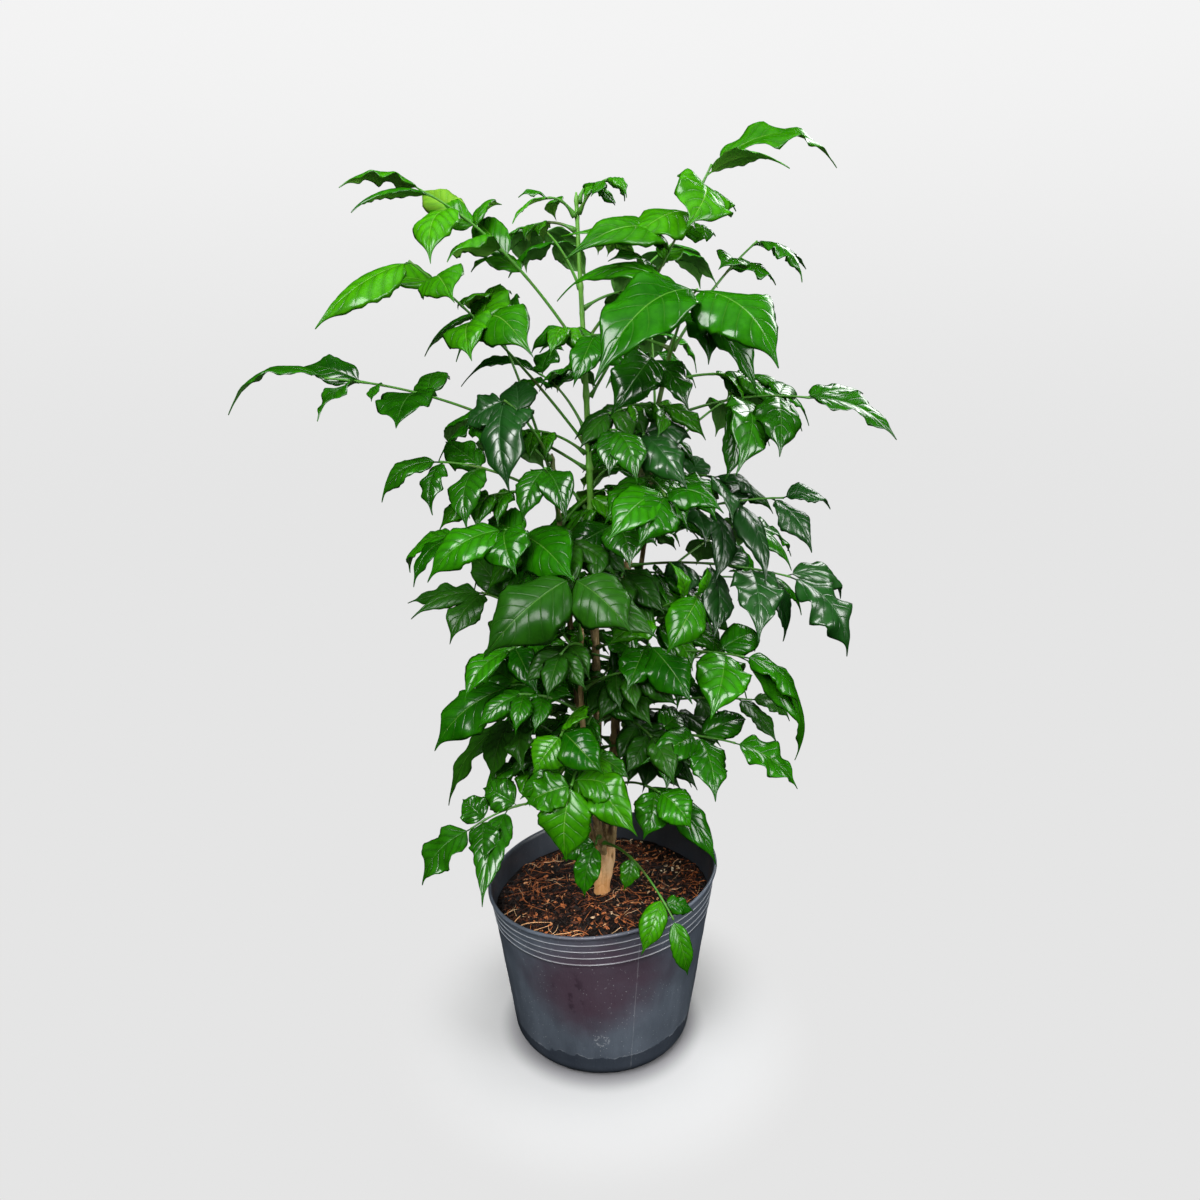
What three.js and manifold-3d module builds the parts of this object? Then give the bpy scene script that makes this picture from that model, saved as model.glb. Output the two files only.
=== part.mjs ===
// A potted china doll plant: a soft black nursery pot, its soil, a short woody trunk with roots,
// five stems and their compound leaves. Millimetres, +Z up, origin at the middle of the pot's underside.
// -Y is the front of the plant, towards the light it grew in.
import * as THREE from "three";
import { mergeVertices } from "three/addons/utils/BufferGeometryUtils.js";
import Module from "manifold-3d";

// Space left between two pieces that rest on or grow out of each other.
const GAP = 0.3;

// The pot: thin polythene, with a rolled lip, ring ridges under it and a rounded foot.
const POT_RIM_RADIUS = 100;
const POT_FOOT_RADIUS = 79;
const POT_HEIGHT = 154;
const POT_WALL = 1.2;
const POT_FOOT_ROUNDING = 14;
const POT_LIP = 1.6;
const POT_LEAN = 13;
const POT_SEGMENTS = 28;
const RIDGE_COUNT = 5;
const RIDGE_PITCH = 6.5;
const RIDGE_DEPTH = 0.7;
const FIRST_RIDGE_BELOW_RIM = 9.5;
const DRAIN_COUNT = 6;
const DRAIN_RADIUS = 4;
const DRAIN_CIRCLE_RADIUS = 48;
const DRAIN_SIDES = 8;

// The soil, with its top a little below the lip and heaped at the trunk.
const SOIL_LEVEL = 129;
const SOIL_HEAP = 4;
const SOIL_HEAP_RADIUS = 18;
const SOIL_SLOPE_RADIUS = 60;

// The trunk stands a little in front of the pot's axis.
const COLLAR = [0, -3, SOIL_LEVEL + SOIL_HEAP];
const COLLAR_RADIUS = 6.5;
const TAPROOT_DEPTH = 75;
const TAPROOT_LEAN = [6, 2, 0];
const TAPROOT_TIP_RADIUS = 1.6;
const SIDE_ROOT_COUNT = 3;
const SIDE_ROOT_RADIUS = 3;
const SIDE_ROOT_TIP_RADIUS = 1;
const SIDE_ROOT_REACH = 45;
const SIDE_ROOT_DROP = 30;
const SIDE_ROOT_DEPTH = 8;
const SIDE_ROOT_SPACING = 6;
const SIDE_ROOT_TURN = THREE.MathUtils.degToRad(36);
const ROOT_SIDES = 5;
const TRUNK_STEPS = 3;

// A stem's foot on the trunk is straight for this length.
const STEM_FOOT_LENGTH = 14;
const STEM_SIDES = 8;
const STEM_STEPS_PER_SPAN = 2;
// Halvings in the search for a height on a stem, which leave far less than a micrometre.
const HALVINGS = 30;
const STALK_RADIUS = 1.4;
const STALK_TIP_RADIUS = 0.9;
const STALK_SIDES = 4;
const STALK_STEPS = 5;
const LAST_LEAFLET = 0.99;

// Leaflet proportions: how far the midrib bows and how thick the blade is over it. Each station gives
// its place along the midrib and the half width there, both as a share of the whole.
const LEAFLET_BOW = 0.16;
const LEAFLET_THICKNESS = 0.9;
const LEAFLET_FOOT_HALF_WIDTH = 0.8;
const LEAFLET_STATIONS = [
  { place: 0.36, halfWidth: 0.5 },
  { place: 0.72, halfWidth: 0.3 },
];

// The way a leaflet's face turns: up, out from the plant's axis and to the front.
const LIGHT_UP = 1;
const LIGHT_OUT = 0.5;
const LIGHT_FRONT = 0.45;

// A fan of evenly set leaflets: how far its pairs turn aside, their run, drop and width for each
// length, where the first pair stands, and the step from pair to pair in place and in size.
const FAN_SPREAD = THREE.MathUtils.degToRad(62);
const FAN_RUN = 0.82;
const FAN_DROP = 0.57;
const FAN_WIDTH = 0.52;
const FAN_FIRST_PLACE = 0.9;
const FAN_PLACE_STEP = 0.28;
const FAN_FIRST_SIZE = 0.9;
const FAN_SIZE_STEP = 0.06;

const BLACK_POLYTHENE = { color: 0x23262c, roughness: 0.42, metalness: 0 };
const POTTING_SOIL = { color: 0x3a2318, roughness: 0.95, metalness: 0 };
const BARK = { color: 0x8a6242, roughness: 0.85, metalness: 0 };
const GREEN_STEM = { color: 0x5b7a34, roughness: 0.6, metalness: 0 };
const LEAF_GREEN = { color: 0x2f8a1e, roughness: 0.35, metalness: 0 };

const UP = new THREE.Vector3(0, 0, 1);
const FRONT = new THREE.Vector3(0, -1, 0);

// Each stem: the radius at its foot and tip, and the points that it grows through.
const STEMS = {
  tall: {
    radii: [4.3, 1.4],
    points: [[-3, 3, 176], [-5, 3, 235], [-4, 2, 312], [-7, 3, 397], [-9, 4, 472], [-12, 4, 557],
      [-15, 6, 620], [-18, 8, 680], [-19, 9, 706]],
  },
  right: {
    radii: [4.4, 1.6],
    points: [[7, 0, 176], [12, 3, 235], [11, 6, 307], [13, 10, 364], [22, 12, 431], [31, 14, 495],
      [43, 10, 550], [54, 2, 604]],
  },
  left: {
    radii: [3.6, 1.6],
    points: [[-9, -4, 175], [-17, -11, 240], [-20, -18, 320], [-25, -22, 381], [-29, -25, 431],
      [-34, -25, 480], [-38, -22, 519]],
  },
  back: {
    radii: [3.4, 1.5],
    points: [[3, 10, 175], [8, 26, 240], [18, 42, 320], [32, 58, 400], [42, 70, 480], [46, 80, 545]],
  },
  front: {
    radii: [3.2, 1.5],
    points: [[1, -8, 174], [-6, -32, 225], [-13, -52, 285], [-16, -64, 345], [-15, -73, 400]],
  },
};

// One compound leaf: the stem it grows from, the height of its node there, the far end of its stalk,
// how far the stalk arches up, and its leaflets. A leaflet is [place along the stalk, x, y and z from
// its base to its tip, width].
function leaf(name, stem, height, end, arch, leaflets) {
  return { name, stem, height, end, arch, leaflets };
}

// Evenly set leaflets: an end one and pairs behind it, each pair smaller than the one before.
function fan(pairs, length) {
  return [{ pairs, length }];
}

// The leaflets of a fan on a stalk with this heading, drooping as they spread.
function spread({ pairs, length }, heading) {
  const aside = heading.clone().cross(UP);
  const leaflets = [[1, ...reach(heading, aside, 0, length), length * FAN_WIDTH]];
  for (let pair = 0; pair < pairs; pair++) {
    const place = FAN_FIRST_PLACE - FAN_PLACE_STEP * pair;
    const size = length * (FAN_FIRST_SIZE - FAN_SIZE_STEP * pair);
    for (const side of [-1, 1]) {
      leaflets.push([place, ...reach(heading, aside, side, size), size * FAN_WIDTH]);
    }
  }
  return leaflets;
}

function reach(heading, aside, side, length) {
  const turn = side * FAN_SPREAD;
  const run = heading.clone().multiplyScalar(Math.cos(turn)).addScaledVector(aside, Math.sin(turn));
  return run.multiplyScalar(length * FAN_RUN).addScaledVector(UP, -length * FAN_DROP).toArray();
}

const LEAVES = [
  leaf("top_left", "tall", 595, [-130, -10, 705], 14, [
    [1, -55, -15, 0, 26], [0.93, -50, -35, -15, 28], [0.8, -10, -50, -40, 32],
    [0.72, -40, 45, 25, 26], [0.66, -40, 20, 15, 24], [0.66, 15, 35, 20, 22],
    [0.5, -35, -40, -10, 32], [0.45, -30, 40, 30, 26], [0.36, -45, 40, 5, 24],
  ]),
  leaf("upper_left", "tall", 525, [-135, -40, 655], 8, [
    [1, -60, -35, -45, 42], [0.85, -65, 55, 0, 28], [0.86, 20, -50, -15, 36],
    [0.72, 20, 45, -5, 26], [0.6, 40, -65, -20, 40], [0.62, 0, -55, -25, 38],
    [0.62, 10, 55, 30, 34],
  ]),
  leaf("left_small", "left", 500, [-90, 40, 625], 8, [
    [1, -50, -10, -35, 18], [0.95, -25, -25, -35, 16], [0.8, 10, 55, 30, 30],
    [0.75, -30, 45, 10, 26],
  ]),
  leaf("tip_left", "tall", 690, [-40, -5, 700], 4, [
    [1, -20, -5, 0, 14], [0.9, -25, -25, -20, 16], [0.5, -5, 30, -10, 16],
  ]),
  leaf("tip_right", "tall", 700, [-10, 20, 710], 3, [
    [1, 20, 0, -10, 14], [0.6, 15, -35, -10, 12],
  ]),
  leaf("top_right", "tall", 560, [80, 10, 725], -6, [
    [1, 100, 35, 5, 36], [0.96, 55, -30, 0, 26], [0.93, -15, -50, -35, 48], [0.88, 35, 40, -5, 22],
    [0.82, -45, -55, -25, 40], [0.74, 30, 20, 0, 22], [0.66, -75, -70, -10, 40],
    [0.68, -80, -35, 5, 28], [0.62, 10, 20, 10, 22], [0.55, -35, -45, 10, 22],
  ]),
  leaf("right_upper", "right", 595, [120, 40, 675], 6, [
    [1, 35, -10, -30, 34], [0.95, 50, 40, -15, 28], [0.7, -15, -40, -5, 28],
    [0.66, 40, 20, -10, 28],
  ]),
  leaf("right_big", "right", 575, [65, -60, 635], 10, [
    [1, -70, -60, -60, 52], [0.97, 50, -50, -50, 58], [0.6, 15, -35, -35, 32],
    [0.66, 50, -20, -60, 28], [0.75, 65, 45, -35, 26], [0.8, -95, 45, 0, 26],
  ]),
  leaf("left_long", "tall", 505, [-200, -40, 575], 14, [
    [1, -70, -10, -25, 30], [0.86, -50, 25, 10, 24], [0.88, -20, -40, -25, 30],
    [0.8, 0, -30, -10, 12], [0.66, -5, -60, -20, 44], [0.62, 0, 45, 15, 30], [0.4, 0, -45, -15, 28],
  ]),
  leaf("left_mid", "left", 485, [-120, -40, 515], 6, [
    [1, -45, 0, -30, 28], [0.97, -5, -25, -35, 26], [0.66, -5, -40, -40, 32],
    [0.62, -35, 45, 15, 28],
  ]),
  leaf("left_arch", "tall", 535, [-50, 40, 575], 6, [
    [1, -65, 10, -10, 32], [0.95, 15, 30, 25, 30], [0.6, -45, 5, -10, 30], [0.6, 10, 45, 10, 28],
  ]),
  leaf("left_gloss", "left", 515, [-70, -50, 560], 5, [
    [1, -30, 5, -20, 32], [0.98, 5, -35, -60, 36], [0.7, -5, -35, -20, 32], [0.7, -5, 40, 20, 30],
  ]),
  leaf("left_inner", "left", 470, [-40, -75, 515], 4, [
    [1, -15, -20, -35, 26], [0.9, 15, -30, -30, 26], [0.6, -15, 5, 10, 22],
  ]),
  leaf("mid_left", "left", 430, [-70, -70, 470], 6, [
    [1, -55, -15, -35, 42], [0.98, 10, -35, -25, 38], [0.72, 40, -60, -20, 44],
    [0.7, -30, 35, 5, 32], [0.3, 30, -35, -25, 30],
  ]),
  leaf("mid_front", "front", 390, [-20, -110, 445], 5, [
    [1, -60, -25, -50, 52], [0.95, 40, -30, -30, 44], [0.9, 58, -12, -38, 36],
    [0.6, -40, 0, -35, 30],
  ]),
  leaf("left_lower", "left", 365, [-95, -20, 410], 6, [
    [1, -60, 5, -10, 24], [0.96, -55, -20, -15, 22], [0.94, -25, -35, -30, 28],
    [0.7, -35, 50, 25, 26], [0.65, -5, -40, -25, 30], [0.35, -10, -45, -25, 30],
  ]),
  leaf("low_left_big", "left", 315, [-70, -55, 345], 6, [
    [1, -60, -10, -50, 44], [0.95, 15, -35, -20, 32], [0.9, -35, 40, 0, 30], [0.6, 30, -35, 5, 28],
    [0.6, 5, 0, 25, 26],
  ]),
  leaf("low_left_olive", "left", 275, [-75, -20, 305], 4, [
    [1, -15, -15, -50, 32], [0.95, -60, 20, -90, 24], [0.75, 0, -45, -25, 30],
    [0.7, -15, 60, -5, 26],
  ]),
  leaf("base_left", "front", 225, [-105, -60, 225], 16, [
    [1, -40, -10, -45, 36], [0.9, 5, -35, -20, 30], [0.88, -20, 15, 10, 26],
    [0.7, -15, -60, -50, 28], [0.62, -30, 20, 5, 30],
  ]),
  leaf("front_low", "front", 285, [-22, -118, 292], 4, [
    [1, -34, 0, -16, 32], [0.97, -4, -14, -54, 40], [0.9, 34, 4, -16, 32], [0.6, 44, -32, -38, 36],
  ]),
  leaf("front_mid", "front", 330, [-30, -105, 325], 4, [
    [1, -20, -10, -25, 32], [0.9, 30, -20, -25, 34], [0.6, 15, -20, 10, 28],
  ]),
  leaf("low_right_small", "right", 235, [45, -65, 260], 4, [
    [1, 25, -15, -25, 34], [0.9, -10, -25, -30, 30], [0.6, 60, -25, -60, 28],
  ]),
  leaf("right_low", "right", 275, [105, -50, 295], 6, [
    [1, 50, -10, -35, 34], [0.7, 10, -45, -35, 36], [0.66, -45, -45, -5, 28], [0.7, 45, 45, -5, 26],
    [0.4, 0, -45, -30, 30], [0.35, 25, 35, 0, 28],
  ]),
  leaf("right_low_back", "back", 290, [130, 30, 300], 5, [
    [1, 35, 0, -20, 24], [0.9, 30, -30, -30, 28], [0.7, 10, 40, -5, 28], [0.6, 0, -30, -45, 28],
  ]),
  leaf("right_lower", "right", 345, [110, -45, 365], 6, [
    [1, 45, -5, -45, 38], [0.95, 55, 25, -100, 34], [0.85, -15, -50, -35, 44],
    [0.8, 40, 45, -5, 30], [0.4, 5, -50, -30, 34], [0.35, 20, 40, 0, 30],
  ]),
  leaf("centre_low", "right", 325, [35, -75, 385], 4, [
    [1, 30, -30, -35, 38], [0.9, -15, -40, -20, 32], [0.7, -30, 5, 15, 28], [0.5, 40, -25, -20, 32],
    [0.45, -25, -25, -35, 28],
  ]),
  leaf("young_bright", "right", 370, [70, -85, 425], 4, [
    [1, -25, -30, -35, 32], [0.97, 5, -15, 25, 18], [0.8, -10, -5, 30, 14], [0.45, -35, -40, -15, 32],
    [0.3, 35, 35, 15, 28],
  ]),
  leaf("right_glossy", "right", 425, [150, -10, 420], 6, [
    [1, 45, -20, -60, 46], [0.97, 55, 40, -30, 26], [0.75, 0, -55, -45, 40],
    [0.8, 20, -15, -55, 24], [0.5, 0, -40, -50, 30], [0.55, 25, 40, -5, 28], [0.3, 5, -45, -15, 30],
  ]),
  leaf("right_mid", "right", 455, [145, 10, 480], 6, [
    [1, 40, 5, -10, 28], [0.92, 30, -20, -40, 32], [0.66, 20, -50, -55, 36], [0.6, 25, 50, -5, 28],
    [0.5, 0, -40, -55, 28], [0.35, 10, -45, -20, 32],
  ]),
  leaf("centre_mid", "right", 495, [45, -75, 495], 5, [
    [1, -20, -30, -30, 38], [0.95, 40, -20, -10, 32], [0.9, -40, -35, -30, 34],
    [0.5, 25, -20, -35, 28], [0.4, -35, -25, -30, 34], [0.35, 35, -10, -20, 30],
  ]),
  leaf("centre_dark", "back", 480, [90, 20, 495], 5, [
    [1, 35, 0, -20, 26], [0.9, 15, -45, -30, 28], [0.6, 15, 30, 10, 28],
  ]),
  leaf("centre_upper", "tall", 525, [10, -60, 540], 3, [
    [1, -5, -25, -30, 24], [0.97, 15, -25, -35, 28], [0.8, -15, -5, -15, 22],
  ]),
  leaf("centre_inner", "tall", 440, [10, -50, 470], 4, [
    [1, 10, -35, -25, 34], [0.9, -40, -15, -20, 32], [0.8, 35, 0, -15, 30],
  ]),
  leaf("centre_right", "right", 535, [30, -45, 535], 2, [
    [1, 30, -35, -35, 34], [0.9, 35, 10, -5, 30], [0.6, 5, -25, -25, 28],
  ]),
  leaf("centre_top", "right", 570, [35, -45, 590], 2, [
    [1, -30, -30, -40, 36], [0.9, 25, -20, -35, 30], [0.6, -20, 5, -25, 28],
  ]),
  leaf("centre_light", "tall", 600, [-5, -40, 605], 2, [
    [1, -15, -25, -35, 24], [0.8, 25, -20, -25, 28],
  ]),
  leaf("right_long", "right", 540, [155, -20, 560], 8, [
    [1, 65, -10, -30, 38], [0.97, 55, 45, 0, 26], [0.8, -5, -45, -40, 38],
    [0.56, -10, -60, -50, 42], [0.8, 20, 65, 0, 26], [0.5, -5, -15, -60, 26], [0.5, 10, 55, 10, 26],
  ]),
  leaf("base_front", "front", 200, [-5, -60, 212], 2, [
    [1, -9, -14, -40, 22], [0.9, -28, -4, -14, 20],
  ]),
  leaf("trailing", "front", 190, [55, -104, 172], 14, [
    [1, 12, -4, -48, 18], [0.84, -16, -22, -36, 22], [0.88, 24, 12, -16, 16], [0.42, -6, -10, -24, 18],
  ]),
  leaf("back_low_left", "back", 240, [-85, 95, 290], 8, fan(2, 68)),
  leaf("back_low_right", "back", 265, [95, 100, 320], 8, fan(2, 68)),
  leaf("back_low_middle", "back", 300, [10, 150, 350], 8, fan(2, 70)),
  leaf("back_left", "back", 345, [-80, 125, 420], 8, fan(2, 70)),
  leaf("back_right", "back", 385, [135, 125, 440], 8, fan(2, 72)),
  leaf("back_middle", "back", 440, [30, 180, 510], 8, fan(2, 72)),
  leaf("back_upper_left", "tall", 470, [-100, 100, 540], 8, fan(2, 70)),
  leaf("back_upper_right", "back", 500, [140, 120, 565], 8, fan(2, 70)),
  leaf("back_high", "back", 540, [45, 165, 610], 8, fan(2, 68)),
  leaf("back_top_left", "tall", 640, [-50, 95, 690], 6, fan(2, 56)),
  leaf("back_top_right", "tall", 600, [60, 110, 680], 6, fan(2, 60)),
  leaf("side_left", "left", 400, [-120, 30, 445], 8, fan(1, 66)),
  leaf("side_right", "right", 395, [125, 45, 405], 8, fan(1, 66)),
];

const wasm = await Module();
wasm.setup();

// A closed geometry as a solid to join or cut.
function solid(geometry) {
  const bare = geometry.clone();
  bare.deleteAttribute("normal");
  bare.deleteAttribute("uv");
  const merged = mergeVertices(bare);
  const vertProperties = merged.getAttribute("position").array;
  const triVerts = new Uint32Array(merged.index.array);
  return new wasm.Manifold(new wasm.Mesh({ numProp: 3, vertProperties, triVerts }));
}

function joined(geometries) {
  return geometries.map(solid).reduce((whole, part) => whole.add(part));
}

function namedMesh(name, shape, finish) {
  const { vertProperties, triVerts } = shape.getMesh();
  const geometry = new THREE.BufferGeometry();
  geometry.setAttribute("position", new THREE.BufferAttribute(vertProperties, 3));
  geometry.setIndex(new THREE.BufferAttribute(triVerts, 1));
  geometry.computeVertexNormals();
  const mesh = new THREE.Mesh(geometry, new THREE.MeshStandardMaterial(finish));
  mesh.name = name;
  return mesh;
}

function vector([x, y, z]) {
  return new THREE.Vector3(x, y, z);
}

// A closed surface through rings of equally many points. Each end closes on a point of its own, which
// is the middle of the end ring unless another is given.
function skin(rings, tip = middleOf(rings.at(-1))) {
  const sides = rings[0].length;
  const points = [...rings.flat(), middleOf(rings[0]), tip];
  const root = points.length - 2;
  const top = (rings.length - 1) * sides;
  const faces = [];
  for (let side = 0; side < sides; side++) {
    const next = (side + 1) % sides;
    for (let ring = 0; ring < top; ring += sides) {
      faces.push(ring + side, ring + next, ring + next + sides);
      faces.push(ring + side, ring + next + sides, ring + side + sides);
    }
    faces.push(root, next, side);
    faces.push(root + 1, top + side, top + next);
  }
  const geometry = new THREE.BufferGeometry().setFromPoints(points);
  geometry.setIndex(faces);
  return geometry;
}

function middleOf(ring) {
  const sum = ring.reduce((total, point) => total.add(point), new THREE.Vector3());
  return sum.divideScalar(ring.length);
}

// A radius that changes evenly along a bar, with a margin added.
function taper(first, last, margin = 0) {
  return (place) => first + (last - first) * place + margin;
}

// A round bar of changing radius along a curve.
function taperedBar(curve, radiusAt, steps, sides) {
  const frames = curve.computeFrenetFrames(steps, false);
  const rings = [];
  for (let step = 0; step <= steps; step++) {
    const centre = curve.getPointAt(step / steps);
    const radius = radiusAt(step / steps);
    const ring = [];
    for (let side = 0; side < sides; side++) {
      const angle = (2 * Math.PI * side) / sides;
      const point = centre.clone();
      point.addScaledVector(frames.normals[step], radius * Math.cos(angle));
      point.addScaledVector(frames.binormals[step], radius * Math.sin(angle));
      ring.push(point);
    }
    rings.push(ring);
  }
  return skin(rings);
}

// The pot leans: its walls rise to the right, more so the higher they are.
function leaned(geometry) {
  const positions = geometry.getAttribute("position");
  for (let i = 0; i < positions.count; i++) {
    const height = positions.getZ(i) / POT_HEIGHT;
    const rise = POT_LEAN * (positions.getX(i) / POT_RIM_RADIUS) * height * height;
    positions.setZ(i, positions.getZ(i) + rise);
  }
  return geometry;
}

// A half section of [radius, height] pairs, turned round the upright axis.
function turned(section, segments) {
  const points = section.map(([radius, height]) => new THREE.Vector2(radius, height));
  return new THREE.LatheGeometry(points, segments).rotateX(Math.PI / 2);
}

// The pot's outer radius at a height above its rounded foot.
function potRadius(height) {
  const rise = (height - POT_FOOT_ROUNDING) / (POT_HEIGHT - POT_FOOT_ROUNDING);
  return POT_FOOT_RADIUS + (POT_RIM_RADIUS - POT_LIP - POT_FOOT_RADIUS) * rise;
}

// The rounded corner between the pot's floor and wall, pulled in by the wall's thickness for its inside.
function footCorner(inset) {
  const corner = [];
  for (const angle of [0, 30, 60, 90]) {
    const turn = THREE.MathUtils.degToRad(angle);
    const radius = POT_FOOT_ROUNDING - inset;
    corner.push([
      POT_FOOT_RADIUS - POT_FOOT_ROUNDING + radius * Math.sin(turn),
      POT_FOOT_ROUNDING - radius * Math.cos(turn),
    ]);
  }
  return corner;
}

function pot() {
  const ridges = [];
  const lowestRidge = POT_HEIGHT - FIRST_RIDGE_BELOW_RIM - (RIDGE_COUNT - 0.5) * RIDGE_PITCH;
  ridges.push([potRadius(lowestRidge), lowestRidge]);
  for (let ridge = RIDGE_COUNT - 1; ridge >= 0; ridge--) {
    const height = POT_HEIGHT - FIRST_RIDGE_BELOW_RIM - ridge * RIDGE_PITCH;
    ridges.push([potRadius(height) + RIDGE_DEPTH, height]);
    ridges.push([potRadius(height + 0.5 * RIDGE_PITCH), height + 0.5 * RIDGE_PITCH]);
  }
  const shell = solid(leaned(turned([
    [0, 0],
    ...footCorner(0),
    ...ridges,
    [POT_RIM_RADIUS - POT_LIP, POT_HEIGHT - 2 * POT_LIP],
    [POT_RIM_RADIUS, POT_HEIGHT - POT_LIP],
    [POT_RIM_RADIUS - POT_LIP, POT_HEIGHT],
    [potRadius(POT_HEIGHT) - POT_WALL, POT_HEIGHT - POT_LIP],
    ...footCorner(POT_WALL).reverse(),
    [0, POT_WALL],
  ], POT_SEGMENTS)));
  let drained = shell;
  for (let hole = 0; hole < DRAIN_COUNT; hole++) {
    const angle = (2 * Math.PI * (hole + 0.5)) / DRAIN_COUNT;
    const punch = new THREE.CylinderGeometry(DRAIN_RADIUS, DRAIN_RADIUS, 4 * POT_WALL, DRAIN_SIDES);
    punch.rotateX(Math.PI / 2);
    punch.translate(DRAIN_CIRCLE_RADIUS * Math.cos(angle), DRAIN_CIRCLE_RADIUS * Math.sin(angle), 0);
    drained = drained.subtract(solid(punch));
  }
  return drained;
}

// The trunk: a collar at the soil, a foot for each stem, a taproot and side roots. Swollen by a margin,
// it is also the space that the soil leaves for it.
function trunk(margin) {
  const collar = vector(COLLAR);
  const tip = collar.clone().add(vector(TAPROOT_LEAN)).addScaledVector(UP, -TAPROOT_DEPTH - margin);
  const taproot = new THREE.LineCurve3(collar, tip);
  const girth = taper(COLLAR_RADIUS, TAPROOT_TIP_RADIUS, margin);
  const parts = [taperedBar(taproot, girth, TRUNK_STEPS, STEM_SIDES)];
  for (let root = 0; root < SIDE_ROOT_COUNT; root++) {
    const angle = SIDE_ROOT_TURN + (2 * Math.PI * root) / SIDE_ROOT_COUNT;
    const start = collar.clone().addScaledVector(UP, -SIDE_ROOT_DEPTH - SIDE_ROOT_SPACING * root);
    const out = new THREE.Vector3(Math.cos(angle), Math.sin(angle), 0);
    const knee = start.clone().addScaledVector(out, SIDE_ROOT_REACH / 2);
    const end = start.clone().addScaledVector(out, SIDE_ROOT_REACH + margin);
    end.addScaledVector(UP, -SIDE_ROOT_DROP);
    const route = new THREE.QuadraticBezierCurve3(start, knee, end);
    const width = taper(SIDE_ROOT_RADIUS, SIDE_ROOT_TIP_RADIUS, margin);
    parts.push(taperedBar(route, width, TRUNK_STEPS, ROOT_SIDES));
  }
  for (const { radii, points } of Object.values(STEMS)) {
    const seat = vector(points[0]);
    const growing = vector(points[1]).sub(seat).normalize();
    const top = seat.clone().addScaledVector(growing, -GAP);
    const below = seat.clone().addScaledVector(growing, -STEM_FOOT_LENGTH);
    const route = new THREE.CatmullRomCurve3([collar, below, top], false, "catmullrom", 0.5);
    parts.push(taperedBar(route, taper(COLLAR_RADIUS, radii[0], margin), TRUNK_STEPS, STEM_SIDES));
  }
  return joined(parts);
}

function soil() {
  const inset = POT_WALL + GAP;
  const level = SOIL_LEVEL;
  const fill = solid(leaned(turned([
    [0, inset],
    ...footCorner(inset),
    [potRadius(level) - inset, level],
    [SOIL_SLOPE_RADIUS, level + SOIL_HEAP / 4],
    [SOIL_HEAP_RADIUS, level + SOIL_HEAP],
    [0, level + SOIL_HEAP],
  ], POT_SEGMENTS)));
  return fill.subtract(trunk(GAP));
}

function stemCurve({ points }) {
  return new THREE.CatmullRomCurve3(points.map(vector), false, "catmullrom", 0.5);
}

function stem({ radii, points }) {
  const curve = stemCurve({ points });
  const steps = STEM_STEPS_PER_SPAN * (points.length - 1);
  return solid(taperedBar(curve, taper(...radii), steps, STEM_SIDES));
}

// The middle, direction and radius of a stem at a height.
function stemAt({ radii, points }, height) {
  const curve = stemCurve({ points });
  let low = 0;
  let high = 1;
  for (let halving = 0; halving < HALVINGS; halving++) {
    const middle = (low + high) / 2;
    if (curve.getPointAt(middle).z < height) low = middle;
    else high = middle;
  }
  const radius = taper(...radii)(low);
  return { centre: curve.getPointAt(low), growing: curve.getTangentAt(low), radius };
}

// The stalk's curve, square off the stem's side to the far end and bowed up by its arch.
function stalkCurve({ stem: stemName, height, end, arch }) {
  const { centre, growing, radius } = stemAt(STEMS[stemName], height);
  const far = vector(end);
  const knee = centre.clone().add(far).multiplyScalar(0.5).addScaledVector(UP, 2 * arch);
  const leaving = knee.clone().sub(centre).normalize();
  const rise = leaving.dot(growing);
  const away = leaving.addScaledVector(growing, -rise).normalize();
  const start = centre.addScaledVector(away, radius + GAP + STALK_RADIUS * Math.abs(rise));
  return new THREE.QuadraticBezierCurve3(start, knee, far);
}

// A leaflet: a thin blade along a bowed midrib, thickest over the midrib, ending in a drip tip.
function leaflet(base, span, width) {
  const light = UP.clone().multiplyScalar(LIGHT_UP).addScaledVector(FRONT, LIGHT_FRONT);
  light.addScaledVector(base.clone().setZ(0).normalize(), LIGHT_OUT);
  const along = span.clone().normalize();
  const face = light.addScaledVector(along, -light.dot(along)).normalize();
  const across = along.clone().cross(face);
  const tip = base.clone().add(span);
  const knee = base.clone().add(tip).multiplyScalar(0.5);
  knee.addScaledVector(face, 2 * LEAFLET_BOW * span.length());
  const midrib = new THREE.QuadraticBezierCurve3(base, knee, tip);
  const section = (place, halfWidth) => {
    const middle = midrib.getPoint(place);
    const lift = across.clone().cross(midrib.getTangent(place)).normalize();
    return [
      middle.clone().addScaledVector(across, -halfWidth),
      middle.clone().addScaledVector(lift, LEAFLET_THICKNESS),
      middle.clone().addScaledVector(across, halfWidth),
    ];
  };
  const sections = LEAFLET_STATIONS.map(({ place, halfWidth }) => section(place, halfWidth * width));
  sections.unshift(section(0, LEAFLET_FOOT_HALF_WIDTH));
  return skin(sections, tip);
}

function compoundLeaf(plan) {
  const curve = stalkCurve(plan);
  const stalk = taperedBar(curve, taper(STALK_RADIUS, STALK_TIP_RADIUS), STALK_STEPS, STALK_SIDES);
  const heading = curve.getTangent(1).setZ(0).normalize();
  const leaflets = plan.leaflets.flatMap((entry) => (entry.pairs ? spread(entry, heading) : [entry]));
  const blades = leaflets.map(([place, x, y, z, width]) =>
    leaflet(curve.getPoint(Math.min(place, LAST_LEAFLET)), vector([x, y, z]), width),
  );
  return joined([stalk, ...blades]);
}

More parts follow.
